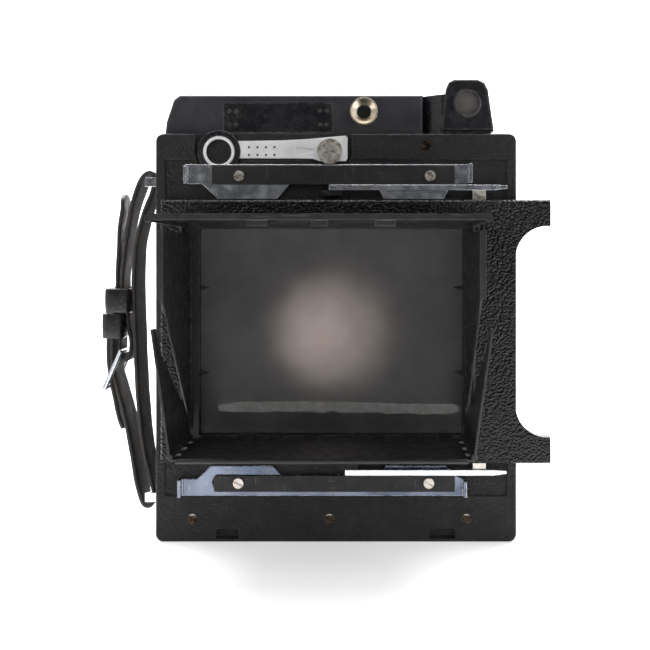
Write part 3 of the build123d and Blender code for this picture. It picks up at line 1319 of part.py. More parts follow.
def rounded_box_z(x, y, corner, z):
    """A block with its upright edges rounded."""
    outline = RectangleRounded(x[1] - x[0], y[1] - y[0], corner)
    return extrude(Pos((x[0] + x[1]) / 2, (y[0] + y[1]) / 2, z[0]) * outline, amount=z[1] - z[0])


def strap_buckle():
    """A leaning wire rectangle that the strap passes through."""
    bar_x = -BODY_W / 2 - BRACKET_REACH
    low = (bar_x + BUCKLE_LOW[0], BUCKLE_LOW[1])
    high = (bar_x + BUCKLE_HIGH[0], BUCKLE_HIGH[1])
    length = hypot(high[0] - low[0], high[1] - low[1])
    lean = degrees(atan2(high[0] - low[0], high[1] - low[1]))
    y = (STRAP_Y0 - 1.8, STRAP_Y1 + 1.8)
    bars = [along_y(0, z, BUCKLE_R, y) for z in (0, length)]
    legs = [along_z(0, side, BUCKLE_R, (0, length)) for side in y]
    corners = [Pos(0, side, z) * Sphere(BUCKLE_R) for side in y for z in (0, length)]
    return Pos(low[0], 0, low[1]) * Rot(0, lean, 0) * joined(bars + legs + corners)


NODES = {
    "body_shell": body_shell,
    "body_covering": body_covering,
    "back_frame": back_frame,
    "slotted_screws": slotted_screws,
    "body_tracks": body_tracks,
    "tripod_bush": tripod_bush,
    "bellows": bellows,
    "bed_catch": bed_catch,
    "rangefinder_housing": rangefinder_housing,
    "rangefinder_plate": rangefinder_plate,
    "rangefinder_eyepiece": rangefinder_eyepiece,
    "viewfinder_housing": viewfinder_housing,
    "viewfinder_eyepiece": viewfinder_eyepiece,
    "finder_glass": finder_glass,
    "peep_arm": peep_arm,
    "peep_ring": peep_ring,
    "peep_pivot_screw": peep_pivot_screw,
    "upper_lock_strip": upper_lock_strip,
    "lower_lock_strip": lower_lock_strip,
    "slide_lock_upper": slide_lock_upper,
    "slide_lock_lower": slide_lock_lower,
    "spring_arm_upper": spring_arm_upper,
    "spring_arm_lower": spring_arm_lower,
    "spring_posts": spring_posts,
    "panel_casting": panel_casting,
    "ground_glass": ground_glass,
    "glass_clips": glass_clips,
    "hood_frame": hood_frame,
    "hood_hinge_pins": hood_hinge_pins,
    "hood_left_leaf": hood_left_leaf,
    "hood_right_leaf": hood_right_leaf,
    "hood_bottom_leaf": hood_bottom_leaf,
    "hood_left_wing": hood_left_wing,
    "hood_right_wing": hood_right_wing,
    "hood_top_leaf": hood_top_leaf,
    "bed_plate": bed_plate,
    "bed_hinge_pin": bed_hinge_pin,
    "focus_rails": focus_rails,
    "focus_shaft": focus_shaft,
    "focus_knobs": focus_knobs,
    "body_link_left": lambda: body_link(-1),
    "body_link_right": lambda: body_link(1),
    "bed_link_left": lambda: bed_link(-1),
    "bed_link_right": lambda: bed_link(1),
    "carriage": carriage,
    "carriage_lock": carriage_lock,
    "standard_frame": standard_frame,
    "lens_panel": lens_panel,
    "shutter_case": shutter_case,
    "speed_ring": speed_ring,
    "aperture_lever": aperture_lever,
    "cocking_lever": cocking_lever,
    "release_lever": release_lever,
    "lens_barrel": lens_barrel,
    "lens_glass": lens_glass,
    "wire_finder": wire_finder,
    "strap": strap,
    "strap_keepers": strap_keepers,
    "strap_buckle": strap_buckle,
    "strap_brackets": strap_brackets,
}


def main():
    os.makedirs("parts", exist_ok=True)
    for name, make in NODES.items():
        export_step(make(), f"parts/{name}.step")


if __name__ == "__main__":
    main()
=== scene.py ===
"""Looks for the folding-bed press camera, seen from behind with its focusing hood up."""

import json
import math

import bpy
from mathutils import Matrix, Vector, noise

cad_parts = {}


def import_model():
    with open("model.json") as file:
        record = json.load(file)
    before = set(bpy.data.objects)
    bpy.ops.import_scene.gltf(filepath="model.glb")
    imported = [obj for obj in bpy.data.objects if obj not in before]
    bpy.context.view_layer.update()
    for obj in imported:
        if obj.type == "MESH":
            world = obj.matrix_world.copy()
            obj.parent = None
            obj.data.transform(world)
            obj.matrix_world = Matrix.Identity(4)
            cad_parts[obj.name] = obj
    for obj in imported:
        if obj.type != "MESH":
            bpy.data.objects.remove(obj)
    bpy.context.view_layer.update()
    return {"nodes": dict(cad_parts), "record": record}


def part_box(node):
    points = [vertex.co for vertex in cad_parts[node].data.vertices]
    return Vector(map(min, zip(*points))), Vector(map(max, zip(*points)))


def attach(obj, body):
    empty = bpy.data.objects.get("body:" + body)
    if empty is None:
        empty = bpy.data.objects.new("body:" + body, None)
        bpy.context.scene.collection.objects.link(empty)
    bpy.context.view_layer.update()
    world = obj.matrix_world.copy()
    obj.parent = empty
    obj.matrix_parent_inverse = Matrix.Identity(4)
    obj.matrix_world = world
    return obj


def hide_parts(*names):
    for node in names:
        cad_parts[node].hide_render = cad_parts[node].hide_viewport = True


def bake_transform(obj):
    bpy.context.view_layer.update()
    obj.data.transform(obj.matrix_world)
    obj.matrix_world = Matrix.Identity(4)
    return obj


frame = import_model()

MM = 0.001
GRAIN, CELLS, PEBBLES = "grain", "cells", "pebbles"
PATCH_SCALE = 55
POLISH = 0.02


class Surface:
    """A procedural material on one principled shader, in object coordinates (metres)."""

    def __init__(self, name):
        self.material = bpy.data.materials.new(name)
        self.material.use_nodes = True
        self.tree = self.material.node_tree
        self.shader = self.tree.nodes["Principled BSDF"]
        self.output = self.tree.nodes["Material Output"]
        self.place = self.add("ShaderNodeTexCoord").outputs["Object"]
        self.normal = None

    def add(self, kind, **settings):
        node = self.tree.nodes.new(kind)
        for key, value in settings.items():
            setattr(node, key, value)
        return node

    def feed(self, socket, value):
        if isinstance(value, bpy.types.NodeSocket):
            self.tree.links.new(value, socket)
        elif socket.type == "RGBA" and len(value) == 3:
            socket.default_value = (*value, 1.0)
        else:
            socket.default_value = value

    def stretched(self, stretch):
        mapping = self.add("ShaderNodeMapping")
        self.feed(mapping.inputs["Vector"], self.place)
        mapping.inputs["Scale"].default_value = stretch
        return mapping.outputs["Vector"]

    def clouds(self, scale, detail=3.0, stretch=None, distortion=0.0):
        node = self.add("ShaderNodeTexNoise")
        self.feed(node.inputs["Vector"], self.stretched(stretch) if stretch else self.place)
        node.inputs["Scale"].default_value = scale
        node.inputs["Detail"].default_value = detail
        node.inputs["Distortion"].default_value = distortion
        return node.outputs["Fac"]

    def cells(self, scale, feature="F1"):
        node = self.add("ShaderNodeTexVoronoi", feature=feature)
        self.feed(node.inputs["Vector"], self.place)
        node.inputs["Scale"].default_value = scale
        node.inputs["Randomness"].default_value = 1.0
        return node.outputs["Distance"]

    def spread(self, value, low, high, to_low=0.0, to_high=1.0):
        node = self.add("ShaderNodeMapRange", interpolation_type="SMOOTHSTEP")
        self.feed(node.inputs["Value"], value)
        node.inputs["From Min"].default_value = low
        node.inputs["From Max"].default_value = high
        node.inputs["To Min"].default_value = to_low
        node.inputs["To Max"].default_value = to_high
        return node.outputs["Result"]

    def math(self, operation, first, second=0.0):
        node = self.add("ShaderNodeMath", operation=operation)
        self.feed(node.inputs[0], first)
        self.feed(node.inputs[1], second)
        return node.outputs[0]

    def mix(self, factor, first, second):
        node = self.add("ShaderNodeMix", data_type="RGBA")
        self.feed(node.inputs[0], factor)
        self.feed(node.inputs[6], first)
        self.feed(node.inputs[7], second)
        return node.outputs[2]

    def height_of(self, axis):
        node = self.add("ShaderNodeSeparateXYZ")
        self.feed(node.inputs[0], self.place)
        return node.outputs[axis]

    def edges(self, width):
        """0 on a flat face, towards 1 at an edge; the rounded normal also softens the edge."""
        bevel = self.add("ShaderNodeBevel", samples=4)
        bevel.inputs["Radius"].default_value = width
        self.normal = bevel.outputs["Normal"]
        geometry = self.add("ShaderNodeNewGeometry")
        dot = self.add("ShaderNodeVectorMath", operation="DOT_PRODUCT")
        self.feed(dot.inputs[0], bevel.outputs["Normal"])
        self.feed(dot.inputs[1], geometry.outputs["True Normal"])
        return self.spread(self.math("SUBTRACT", 1.0, dot.outputs["Value"]), 0.03, 0.22)

    def raise_by(self, height, depth):
        bump = self.add("ShaderNodeBump")
        self.feed(bump.inputs["Height"], height)
        bump.inputs["Distance"].default_value = depth
        bump.inputs["Strength"].default_value = 1.0
        if self.normal is not None:
            self.feed(bump.inputs["Normal"], self.normal)
        self.normal = bump.outputs["Normal"]

    def texture(self, kind, scale):
        if kind == GRAIN:
            return self.clouds(scale, 4.0)
        if kind == CELLS:
            return self.math("MULTIPLY", self.cells(scale, "DISTANCE_TO_EDGE"), 2.0)
        return self.math("SUBTRACT", 1.0, self.cells(scale, "SMOOTH_F1"))

    def close(self, colour, roughness, metallic=0.0, specular=0.5):
        self.feed(self.shader.inputs["Base Color"], colour)
        self.feed(self.shader.inputs["Roughness"], roughness)
        self.shader.inputs["Metallic"].default_value = metallic
        self.shader.inputs["Specular IOR Level"].default_value = specular
        if self.normal is not None:
            self.feed(self.shader.inputs["Normal"], self.normal)
        return self


def coated(name, dark, light, rough, bumps, edge=None, edge_width=0.0005, dust=None, dust_share=0.5,
           scratch=None, metallic=0.0, specular=0.5):
    """A worn finish: cloudy colour and roughness, texture, rubbed edges, dust specks and hair scratches."""
    surface = Surface(name)
    rubbed = surface.edges(edge_width)
    clouds = surface.clouds(PATCH_SCALE, 5.0)
    colour = surface.mix(surface.spread(clouds, 0.36, 0.64), dark, light)
    roughness = surface.spread(surface.clouds(PATCH_SCALE * 4, 4.0), 0.3, 0.7, *rough)
    if scratch is not None:
        for stretch in ((1.0, 1.0, 0.06), (0.05, 1.0, 1.0)):
            lines = surface.spread(surface.clouds(1500, 1.0, stretch), 0.70, 0.76)
            share = surface.math(
                "MULTIPLY", lines, surface.spread(surface.clouds(45, 2.0), 0.42, 0.62, 0.0, 0.55))
            colour = surface.mix(share, colour, scratch)
    if dust is not None:
        film = surface.spread(surface.clouds(90, 6.0), 0.45, 0.72, 0.0, dust_share)
        specks = surface.spread(surface.cells(620), 0.16, 0.06, 0.0, 1.0)
        sparse = surface.spread(surface.clouds(130, 2.0), 0.52, 0.6)
        amount = surface.math("MAXIMUM", film, surface.math("MULTIPLY", specks, sparse))
        colour = surface.mix(amount, colour, dust)
        roughness = surface.math("ADD", roughness, surface.math("MULTIPLY", amount, 0.15))
    if edge is not None:
        wear = surface.math(
            "MULTIPLY", rubbed, surface.spread(surface.clouds(210, 4.0), 0.38, 0.62, 0.15, 1.0))
        colour = surface.mix(wear, colour, edge)
    for kind, scale, depth in bumps:
        surface.raise_by(surface.texture(kind, scale), depth)
    surface.close(colour, roughness, metallic, specular)
    return surface


def glassy(name, tint, share):
    """Polished glass: see-through, with a reflecting surface, smears and a coating's tint."""
    surface = Surface(name)
    smears = surface.spread(surface.clouds(140, 4.0), 0.4, 0.7, POLISH, POLISH + 0.09)
    surface.raise_by(surface.clouds(700, 2.0), 0.00001)
    surface.close(surface.mix(surface.clouds(60, 3.0), tint, [c * 0.7 for c in tint]), smears)
    clear = surface.add("ShaderNodeBsdfTransparent")
    clear.inputs["Color"].default_value = (*tint, 1.0)
    blend = surface.add("ShaderNodeMixShader")
    film = surface.spread(surface.clouds(400, 4.0), 0.45, 0.7, 1.0 - share, 1.0 - share * 0.6)
    surface.feed(blend.inputs[0], film)
    surface.feed(blend.inputs[1], clear.outputs[0])
    surface.feed(blend.inputs[2], surface.shader.outputs[0])
    surface.feed(surface.output.inputs["Surface"], blend.outputs[0])
    return surface


# ---- Surfaces -----------------------------------------------------------------
leatherette = coated(
    "leatherette", dark=(0.004, 0.004, 0.0045), light=(0.010, 0.010, 0.011), rough=(0.50, 0.68),
    bumps=[(CELLS, 950, 0.00016), (GRAIN, 2400, 0.00008)], edge=(0.05, 0.045, 0.04), edge_width=0.0006,
    dust=(0.06, 0.055, 0.05), dust_share=0.12)
crinkle = coated(
    "crinkle_black", dark=(0.0012, 0.0012, 0.0015), light=(0.005, 0.005, 0.0055), rough=(0.14, 0.28),
    bumps=[(PEBBLES, 950, 0.0006), (GRAIN, 420, 0.0005)], edge=(0.05, 0.045, 0.04), edge_width=0.0006,
    dust=(0.06, 0.055, 0.05), dust_share=0.05, specular=0.32)
grain_black = coated(
    "grain_black", dark=(0.002, 0.002, 0.0025), light=(0.006, 0.0055, 0.0055), rough=(0.42, 0.6),
    bumps=[(PEBBLES, 1000, 0.0004), (GRAIN, 2600, 0.00016)], edge=(0.07, 0.058, 0.048),
    edge_width=0.0007, dust=(0.085, 0.07, 0.058), dust_share=0.07, specular=0.36)
satin_black = coated(
    "satin_black", dark=(0.012, 0.012, 0.017), light=(0.020, 0.020, 0.028), rough=(0.36, 0.5),
    bumps=[(GRAIN, 1800, 0.00003)], edge=(0.13, 0.125, 0.12), edge_width=0.0011,
    dust=(0.11, 0.09, 0.075), dust_share=0.08, scratch=(0.10, 0.10, 0.10))
gloss_black = coated(
    "gloss_black", dark=(0.004, 0.004, 0.006), light=(0.009, 0.009, 0.012), rough=(0.2, 0.34),
    bumps=[(GRAIN, 900, 0.000012)], edge=(0.12, 0.12, 0.12), edge_width=0.0011,
    dust=(0.09, 0.085, 0.08), dust_share=0.06, scratch=(0.09, 0.09, 0.09))
hood_black = coated(
    "hood_black", dark=(0.004, 0.004, 0.0045), light=(0.009, 0.009, 0.010), rough=(0.34, 0.5),
    bumps=[(GRAIN, 700, 0.00005)], edge=(0.15, 0.145, 0.14), edge_width=0.00045,
    dust=(0.06, 0.055, 0.05), dust_share=0.07, scratch=(0.09, 0.09, 0.09))
strip_black = coated(
    "strip_black", dark=(0.003, 0.003, 0.0032), light=(0.008, 0.0075, 0.0075), rough=(0.45, 0.62),
    bumps=[(GRAIN, 1500, 0.00006)], edge=(0.22, 0.21, 0.20), edge_width=0.0004,
    dust=(0.10, 0.085, 0.07), dust_share=0.12, scratch=(0.15, 0.14, 0.13))
chrome = coated(
    "chrome", dark=(0.62, 0.66, 0.74), light=(0.80, 0.82, 0.86), rough=(0.10, 0.26),
    bumps=[(GRAIN, 260, 0.00003)], edge=(0.9, 0.9, 0.9), edge_width=0.0004, dust=(0.30, 0.28, 0.26),
    dust_share=0.18, scratch=(0.35, 0.34, 0.33), metallic=1.0)
# The lower lock plate is chrome: its dark bluish colour is painted shade, standing in for the dark
# reflections it shows.
shaded_lock_plate = coated(
    "shaded_lock_plate", dark=(0.10, 0.12, 0.17), light=(0.22, 0.25, 0.32), rough=(0.16, 0.30),
    bumps=[(GRAIN, 260, 0.00003)], edge=(0.9, 0.9, 0.9), edge_width=0.0008, dust=(0.30, 0.28, 0.26),
    dust_share=0.18, scratch=(0.35, 0.34, 0.33), metallic=1.0)
steel = coated(
    "steel", dark=(0.34, 0.34, 0.35), light=(0.52, 0.52, 0.53), rough=(0.28, 0.45),
    bumps=[(GRAIN, 900, 0.00003)], edge=(0.7, 0.7, 0.7), edge_width=0.0004, dust=(0.2, 0.18, 0.16),
    dust_share=0.3, scratch=(0.6, 0.6, 0.6), metallic=1.0)
aluminium = coated(
    "aluminium", dark=(0.52, 0.53, 0.55), light=(0.68, 0.69, 0.71), rough=(0.26, 0.42),
    bumps=[(GRAIN, 1600, 0.00003)], edge=(0.8, 0.8, 0.8), edge_width=0.0004, dust=(0.3, 0.28, 0.26),
    dust_share=0.2, scratch=(0.75, 0.75, 0.75), metallic=1.0)
knob_metal = coated(
    "knob", dark=(0.55, 0.56, 0.58), light=(0.72, 0.72, 0.74), rough=(0.2, 0.34),
    bumps=[(GRAIN, 1200, 0.00004)], edge=(0.85, 0.85, 0.85), edge_width=0.0004, dust=(0.25, 0.22, 0.2),
    dust_share=0.3, metallic=1.0)
brass = coated(
    "brass", dark=(0.40, 0.33, 0.24), light=(0.66, 0.58, 0.45), rough=(0.24, 0.38),
    bumps=[(GRAIN, 900, 0.00003)], edge=(0.85, 0.78, 0.64), edge_width=0.0004, dust=(0.20, 0.16, 0.12),
    dust_share=0.3, metallic=1.0)
strap_leather = coated(
    "strap_leather", dark=(0.006, 0.0055, 0.0055), light=(0.016, 0.013, 0.012), rough=(0.38, 0.6),
    bumps=[(CELLS, 1300, 0.0001), (GRAIN, 500, 0.00025)], edge=(0.17, 0.115, 0.08), edge_width=0.0008,
    dust=(0.09, 0.07, 0.055), dust_share=0.2)
strap_flesh = coated(
    "strap_flesh", dark=(0.035, 0.031, 0.030), light=(0.105, 0.096, 0.090), rough=(0.6, 0.8),
    bumps=[(GRAIN, 420, 0.0003), (GRAIN, 1700, 0.0001)], edge=(0.16, 0.12, 0.09), edge_width=0.0007,
    dust=(0.14, 0.12, 0.10), dust_share=0.3)
keeper_leather = coated(
    "keeper_leather", dark=(0.005, 0.005, 0.006), light=(0.010, 0.010, 0.011), rough=(0.22, 0.34),
    bumps=[(GRAIN, 600, 0.00012)], edge=(0.05, 0.045, 0.04), edge_width=0.0009,
    dust=(0.06, 0.05, 0.045), dust_share=0.1)
arm_metal = coated(
    "arm_metal", dark=(0.88, 0.88, 0.88), light=(0.96, 0.96, 0.96), rough=(0.42, 0.52),
    bumps=[(GRAIN, 700, 0.00004)], edge=(0.95, 0.95, 0.95), edge_width=0.0004, dust=(0.45, 0.43, 0.40),
    dust_share=0.25, scratch=(0.45, 0.44, 0.42), metallic=0.55)
bellows_skin = coated(
    "bellows_skin", dark=(0.010, 0.010, 0.010), light=(0.022, 0.020, 0.020), rough=(0.5, 0.7),
    bumps=[(CELLS, 1500, 0.00008), (GRAIN, 600, 0.0002)], edge=(0.09, 0.08, 0.075), edge_width=0.0007,
    dust=(0.09, 0.08, 0.07), dust_share=0.2)
clear_glass = glassy("clear_glass", (0.88, 0.85, 0.84), 0.75)


def eye_glass():
    """The finders' windows: dark coated glass, paler in the optical finder on the right."""
    surface = Surface("eye_glass")
    left_edge, right_edge = 30 * MM, 40 * MM
    right = surface.spread(surface.height_of("X"), left_edge, right_edge)
    clouds = surface.clouds(160, 4.0)
    green = surface.mix(clouds, (0.006, 0.009, 0.007), (0.020, 0.026, 0.020))
    brown = surface.mix(clouds, (0.070, 0.062, 0.060), (0.150, 0.135, 0.130))
    surface.raise_by(surface.clouds(120, 2.0), 0.00012)
    rough = surface.spread(surface.clouds(300, 4.0), 0.35, 0.7, 0.04, 0.16)
    return surface.close(surface.mix(right, green, brown), rough, specular=0.7)


def screw_metal():
    """Bright nickel, with the back frame's own screws browned, along its foot and at its top right."""
    surface = Surface("nickel")
    foot, top, top_left = (13 * MM, 12 * MM), (179.5 * MM, 180.5 * MM), (20 * MM, 30 * MM)
    surface.edges(0.0003)
    height = surface.height_of("Z")
    low = surface.spread(height, *foot)
    high = surface.math("MULTIPLY", surface.spread(height, *top),
                        surface.spread(surface.height_of("X"), *top_left))
    aged = surface.math("MAXIMUM", low, high)
    clouds = surface.clouds(420, 5.0)
    bright = surface.mix(surface.spread(clouds, 0.35, 0.65), (0.52, 0.46, 0.40), (0.74, 0.71, 0.67))
    brown = surface.mix(surface.spread(clouds, 0.35, 0.65), (0.025, 0.019, 0.015), (0.085, 0.062, 0.046))
    surface.raise_by(surface.clouds(1400, 3.0), 0.00003)
    rough = surface.spread(clouds, 0.3, 0.7, 0.22, 0.42)
    return surface.close(surface.mix(aged, bright, brown), rough, 1.0)


def bed_skin():
    """Leatherette on the door's outer face and painted metal on the box inside it."""
    surface = Surface("bed_skin")
    surface.edges(0.0006)
    inner_z, outer_z = 16.8 * MM, 16.3 * MM
    outside = surface.spread(surface.height_of("Z"), inner_z, outer_z)
    clouds = surface.clouds(55, 5.0)
    leather = surface.mix(surface.spread(clouds, 0.35, 0.65), (0.010, 0.010, 0.011), (0.020, 0.020, 0.021))
    paint = surface.mix(surface.spread(clouds, 0.35, 0.65), (0.055, 0.058, 0.062), (0.085, 0.088, 0.092))
    surface.raise_by(surface.math("MULTIPLY", surface.cells(950, "DISTANCE_TO_EDGE"), outside), 0.0002)
    surface.raise_by(surface.clouds(1800, 3.0), 0.00003)
    rough = surface.spread(surface.clouds(200, 4.0), 0.3, 0.7, 0.36, 0.55)
    return surface.close(surface.mix(outside, paint, leather), rough)


def ground_surface():
    """Ground glass: it scatters what the lens throws on it, under a dusty polished rear face."""
    surface = Surface("ground")
    clouds = surface.clouds(38, 6.0, distortion=0.4)
    tone = surface.mix(surface.spread(clouds, 0.3, 0.7), (0.140, 0.136, 0.140), (0.185, 0.180, 0.182))
    specks = surface.math("MULTIPLY", surface.spread(surface.cells(330), 0.07, 0.02),
                          surface.spread(surface.clouds(70, 2.0), 0.5, 0.6))
    tone = surface.mix(surface.math("MULTIPLY", specks, 0.6), tone, (0.32, 0.31, 0.30))
    streaks = surface.spread(surface.clouds(60, 4.0, (1.0, 1.0, 0.25)), 0.48, 0.75, 0.0, 0.5)
    tone = surface.mix(streaks, tone, (0.19, 0.185, 0.185))
    surface.raise_by(surface.clouds(1900, 3.0), 0.000012)
    rough = surface.spread(clouds, 0.3, 0.7, 0.10, 0.24)
    surface.close(tone, rough, specular=0.42)
    through = surface.add("ShaderNodeBsdfTranslucent")
    uneven = surface.spread(surface.clouds(85, 5.0), 0.3, 0.7)
    surface.feed(through.inputs["Color"], surface.mix(uneven, (0.80, 0.77, 0.75), (0.92, 0.90, 0.88)))
    join = surface.add("ShaderNodeMixShader")
    join.inputs[0].default_value = 0.5
    surface.feed(join.inputs[1], surface.shader.outputs[0])
    surface.feed(join.inputs[2], through.outputs[0])
    surface.feed(surface.output.inputs["Surface"], join.outputs[0])
    return surface


def dress(name, surface):
    piece = frame["nodes"][name]
    piece.data.materials.clear()
    piece.data.materials.append(surface.material)


nickel = screw_metal()
LOOKS = {
    "satin_black": satin_black, "leatherette": leatherette, "grain_black": grain_black, "nickel": nickel,
    "aluminium": aluminium, "steel": steel, "bellows_skin": bellows_skin, "chrome": chrome,
    "gloss_black": gloss_black, "brass": brass, "clear": clear_glass, "strip_black": strip_black,
    "crinkle_black": crinkle, "ground": ground_surface(), "hood_black": hood_black,
    "strap_leather": strap_leather, "knob": knob_metal,
}
for part in frame["record"]["subparts"]:
    dress(part["node"], LOOKS[part["material_slot"]])
dress("bed_plate", bed_skin())
dress("finder_glass", eye_glass())
dress("peep_arm", arm_metal)
dress("viewfinder_eyepiece", satin_black)
# The lower lock plate takes the darkened chrome, with its dark reflections painted in as shade.
dress("slide_lock_lower", shaded_lock_plate)


def new_piece(name, verts, faces, surface, body=None):
    mesh = bpy.data.meshes.new(name)
    mesh.from_pydata(verts, [], faces)
    mesh.update()
    piece = bpy.data.objects.new(name, mesh)
    bpy.context.scene.collection.objects.link(piece)
    mesh.materials.append(surface.material)
    if body:
        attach(piece, body)
    return piece


# ---- Bellows ------------------------------------------------------------------
def pleated_bellows():
    """Pleated leather between the back frame and the standard, thin and open at both ends."""
    low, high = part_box("bellows")
    middle_x, middle_z = (low.x + high.x) / 2, (low.z + high.z) / 2
    rear, front = (0.0655, 0.0525), (0.0375, 0.0415)
    folds, depth, corner, ridge_cut = 9, 0.0022, 0.007, 0.55
    rings = 2 * folds + 1
    verts, faces = [], []
    for ring in range(rings):
        t = ring / (rings - 1)
        y = low.y + t * (high.y - low.y)
        inward = depth if ring % 2 else 0.0
        half_x = rear[0] + t * (front[0] - rear[0]) - inward
        half_z = rear[1] + t * (front[1] - rear[1]) - inward
        cut = corner if ring % 2 else corner * ridge_cut
        for sx, sz, first in ((1, 1, 0), (1, -1, 1), (-1, -1, 0), (-1, 1, 1)):
            pair = [(sx * (half_x - cut), sz * half_z), (sx * half_x, sz * (half_z - cut))]
            for x, z in (pair[::-1] if first else pair):
                verts.append((middle_x + x, y, middle_z + z))
    for ring in range(rings - 1):
        for k in range(8):
            a, b = ring * 8 + k, ring * 8 + (k + 1) % 8
            faces.append((a, b, b + 8, a + 8))
    piece = new_piece("pleated_bellows", verts, faces, bellows_skin)
    thick = piece.modifiers.new("skin", "SOLIDIFY")
    thick.thickness = 0.0005
    thick.offset = -1
    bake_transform(piece)
    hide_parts("bellows")


pleated_bellows()


# ---- Strap --------------------------------------------------------------------
# One half of the strap's section, across and through, in halves of its width and thickness.
HALF_SECTION = ((-1, -0.45), (-0.97, -0.85), (-0.9, -1), (-0.5, -1), (0, -1.04), (0.5, -1), (0.9, -1),
                (0.97, -0.85), (1, -0.45))
SECTION = HALF_SECTION + tuple((u, -v) for u, v in reversed(HALF_SECTION))
WORN_FACES = (2, 3, 4, 5, 11, 12, 13, 14)
KEEPER_LEVELS = ((0.0, 0.35), (0.03, 0.1), (0.08, 0.0), (0.3, -0.12), (0.5, -0.18), (0.7, -0.12), (0.92, 0.0),
                 (0.97, 0.1), (1.0, 0.35))


def smooth_path(points):
    """A Catmull-Rom curve through the points, as (value, ...) tuples."""
    steps = 7
    padded = [points[0], *points, points[-1]]
    path = []
    for i in range(1, len(padded) - 2):
        p0, p1, p2, p3 = padded[i - 1:i + 3]
        for step in range(steps):
            t = step / steps
            path.append(tuple(
                0.5 * (2 * b + (c - a) * t + (2 * a - 5 * b + 4 * c - d) * t * t
                       + (3 * b - a - 3 * c + d) * t ** 3)
                for a, b, c, d in zip(p0, p1, p2, p3)))
    path.append(tuple(points[-1]))
    return path


def ribbon(name, points, width, thickness, tips=(0.0, 0.0), worn=True):
    """A strap along (x, z, lean) points in mm and degrees; a lean turns its rear face into view."""
    path = smooth_path(points)
    low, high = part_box("strap")
    middle_y = (low.y + high.y) / 2
    half, thick = width / 2 * MM, thickness / 2 * MM
    verts, faces, kinds = [], [], []
    run = 0.0
    for i, (x, z, lean) in enumerate(path):
        before, after = path[max(i - 1, 0)], path[min(i + 1, len(path) - 1)]
        tangent = Vector((after[0] - before[0], 0, after[1] - before[1])).normalized()
        across = Vector((0, 1, 0))
        normal = tangent.cross(across)
        angle = math.radians(lean)
        wide = across * math.cos(angle) + Vector((1, 0, 0)) * math.sin(angle)
        run += (Vector((x, 0, z)) - Vector((before[0], 0, before[1]))).length
        end = min(i, len(path) - 1 - i)
        left_tip = tips[0] if i < len(path) / 2 else tips[1]
        narrow = 1.0 if left_tip == 0 or end > 4 else 1 - left_tip * (1 - end / 5) ** 2
        wave = 0.25 * MM * noise.noise(Vector((run * 0.11, len(points), 0)))
        centre = Vector((x * MM + wave, middle_y, z * MM))
        for u, v in SECTION:
            verts.append(centre + wide * (u * half * narrow) + normal * (v * thick))
    count = len(SECTION)
    for i in range(len(path) - 1):
        for k in range(count):
            a, b = i * count + k, i * count + (k + 1) % count
            faces.append((a, b, b + count, a + count))
            kinds.append(1 if worn and k in WORN_FACES else 0)
    last = (len(path) - 1) * count
    faces += [tuple(range(count))[::-1], tuple(range(last, last + count))]
    kinds += [0, 0]
    piece = new_piece(name, [tuple(v) for v in verts], faces, strap_leather, "camera_body")
    piece.data.materials.append(strap_flesh.material)
    for face, kind in zip(piece.data.polygons, kinds):
        face.material_index = kind
        face.use_smooth = True
    return piece


def keeper(name, x, z, y):
    """A glossy leather band round the strap's layers, a little barrelled."""
    wall, corner = 1.2 * MM, 2.4 * MM
    outer = [(share, inset * MM) for share, inset in KEEPER_LEVELS]
    inner = [(1.0, wall), (0.5, wall), (0.0, wall)]
    verts, faces = [], []
    arc = 6
    for share, inset in outer + inner:
        level = z[0] + share * (z[1] - z[0])
        for cx, cy, start in ((x[1], y[1], 0), (x[0], y[1], 90), (x[0], y[0], 180), (x[1], y[0], 270)):
            sx, sy = (-1 if cx == x[1] else 1), (-1 if cy == y[1] else 1)
            reach = max(corner - inset, 0.2 * MM)
            for k in range(arc + 1):
                angle = math.radians(start + 90 * k / arc)
                px = cx + sx * (inset + reach) + reach * math.cos(angle)
                py = cy + sy * (inset + reach) + reach * math.sin(angle)
                sag = 0.5 * MM * (py - (y[0] + y[1]) / 2) / (y[1] - y[0])
                verts.append((px, py, level + sag))
    count = 4 * (arc + 1)
    rows = len(outer) + len(inner)
    for row in range(rows):
        following = (row + 1) % rows
        for k in range(count):
            a, b = row * count + k, row * count + (k + 1) % count
            c, d = following * count + (k + 1) % count, following * count + k
            faces.append((a, b, c, d))
    piece = new_piece(name, verts, faces, keeper_leather, "camera_body")
    for face in piece.data.polygons:
        face.use_smooth = True
    return piece


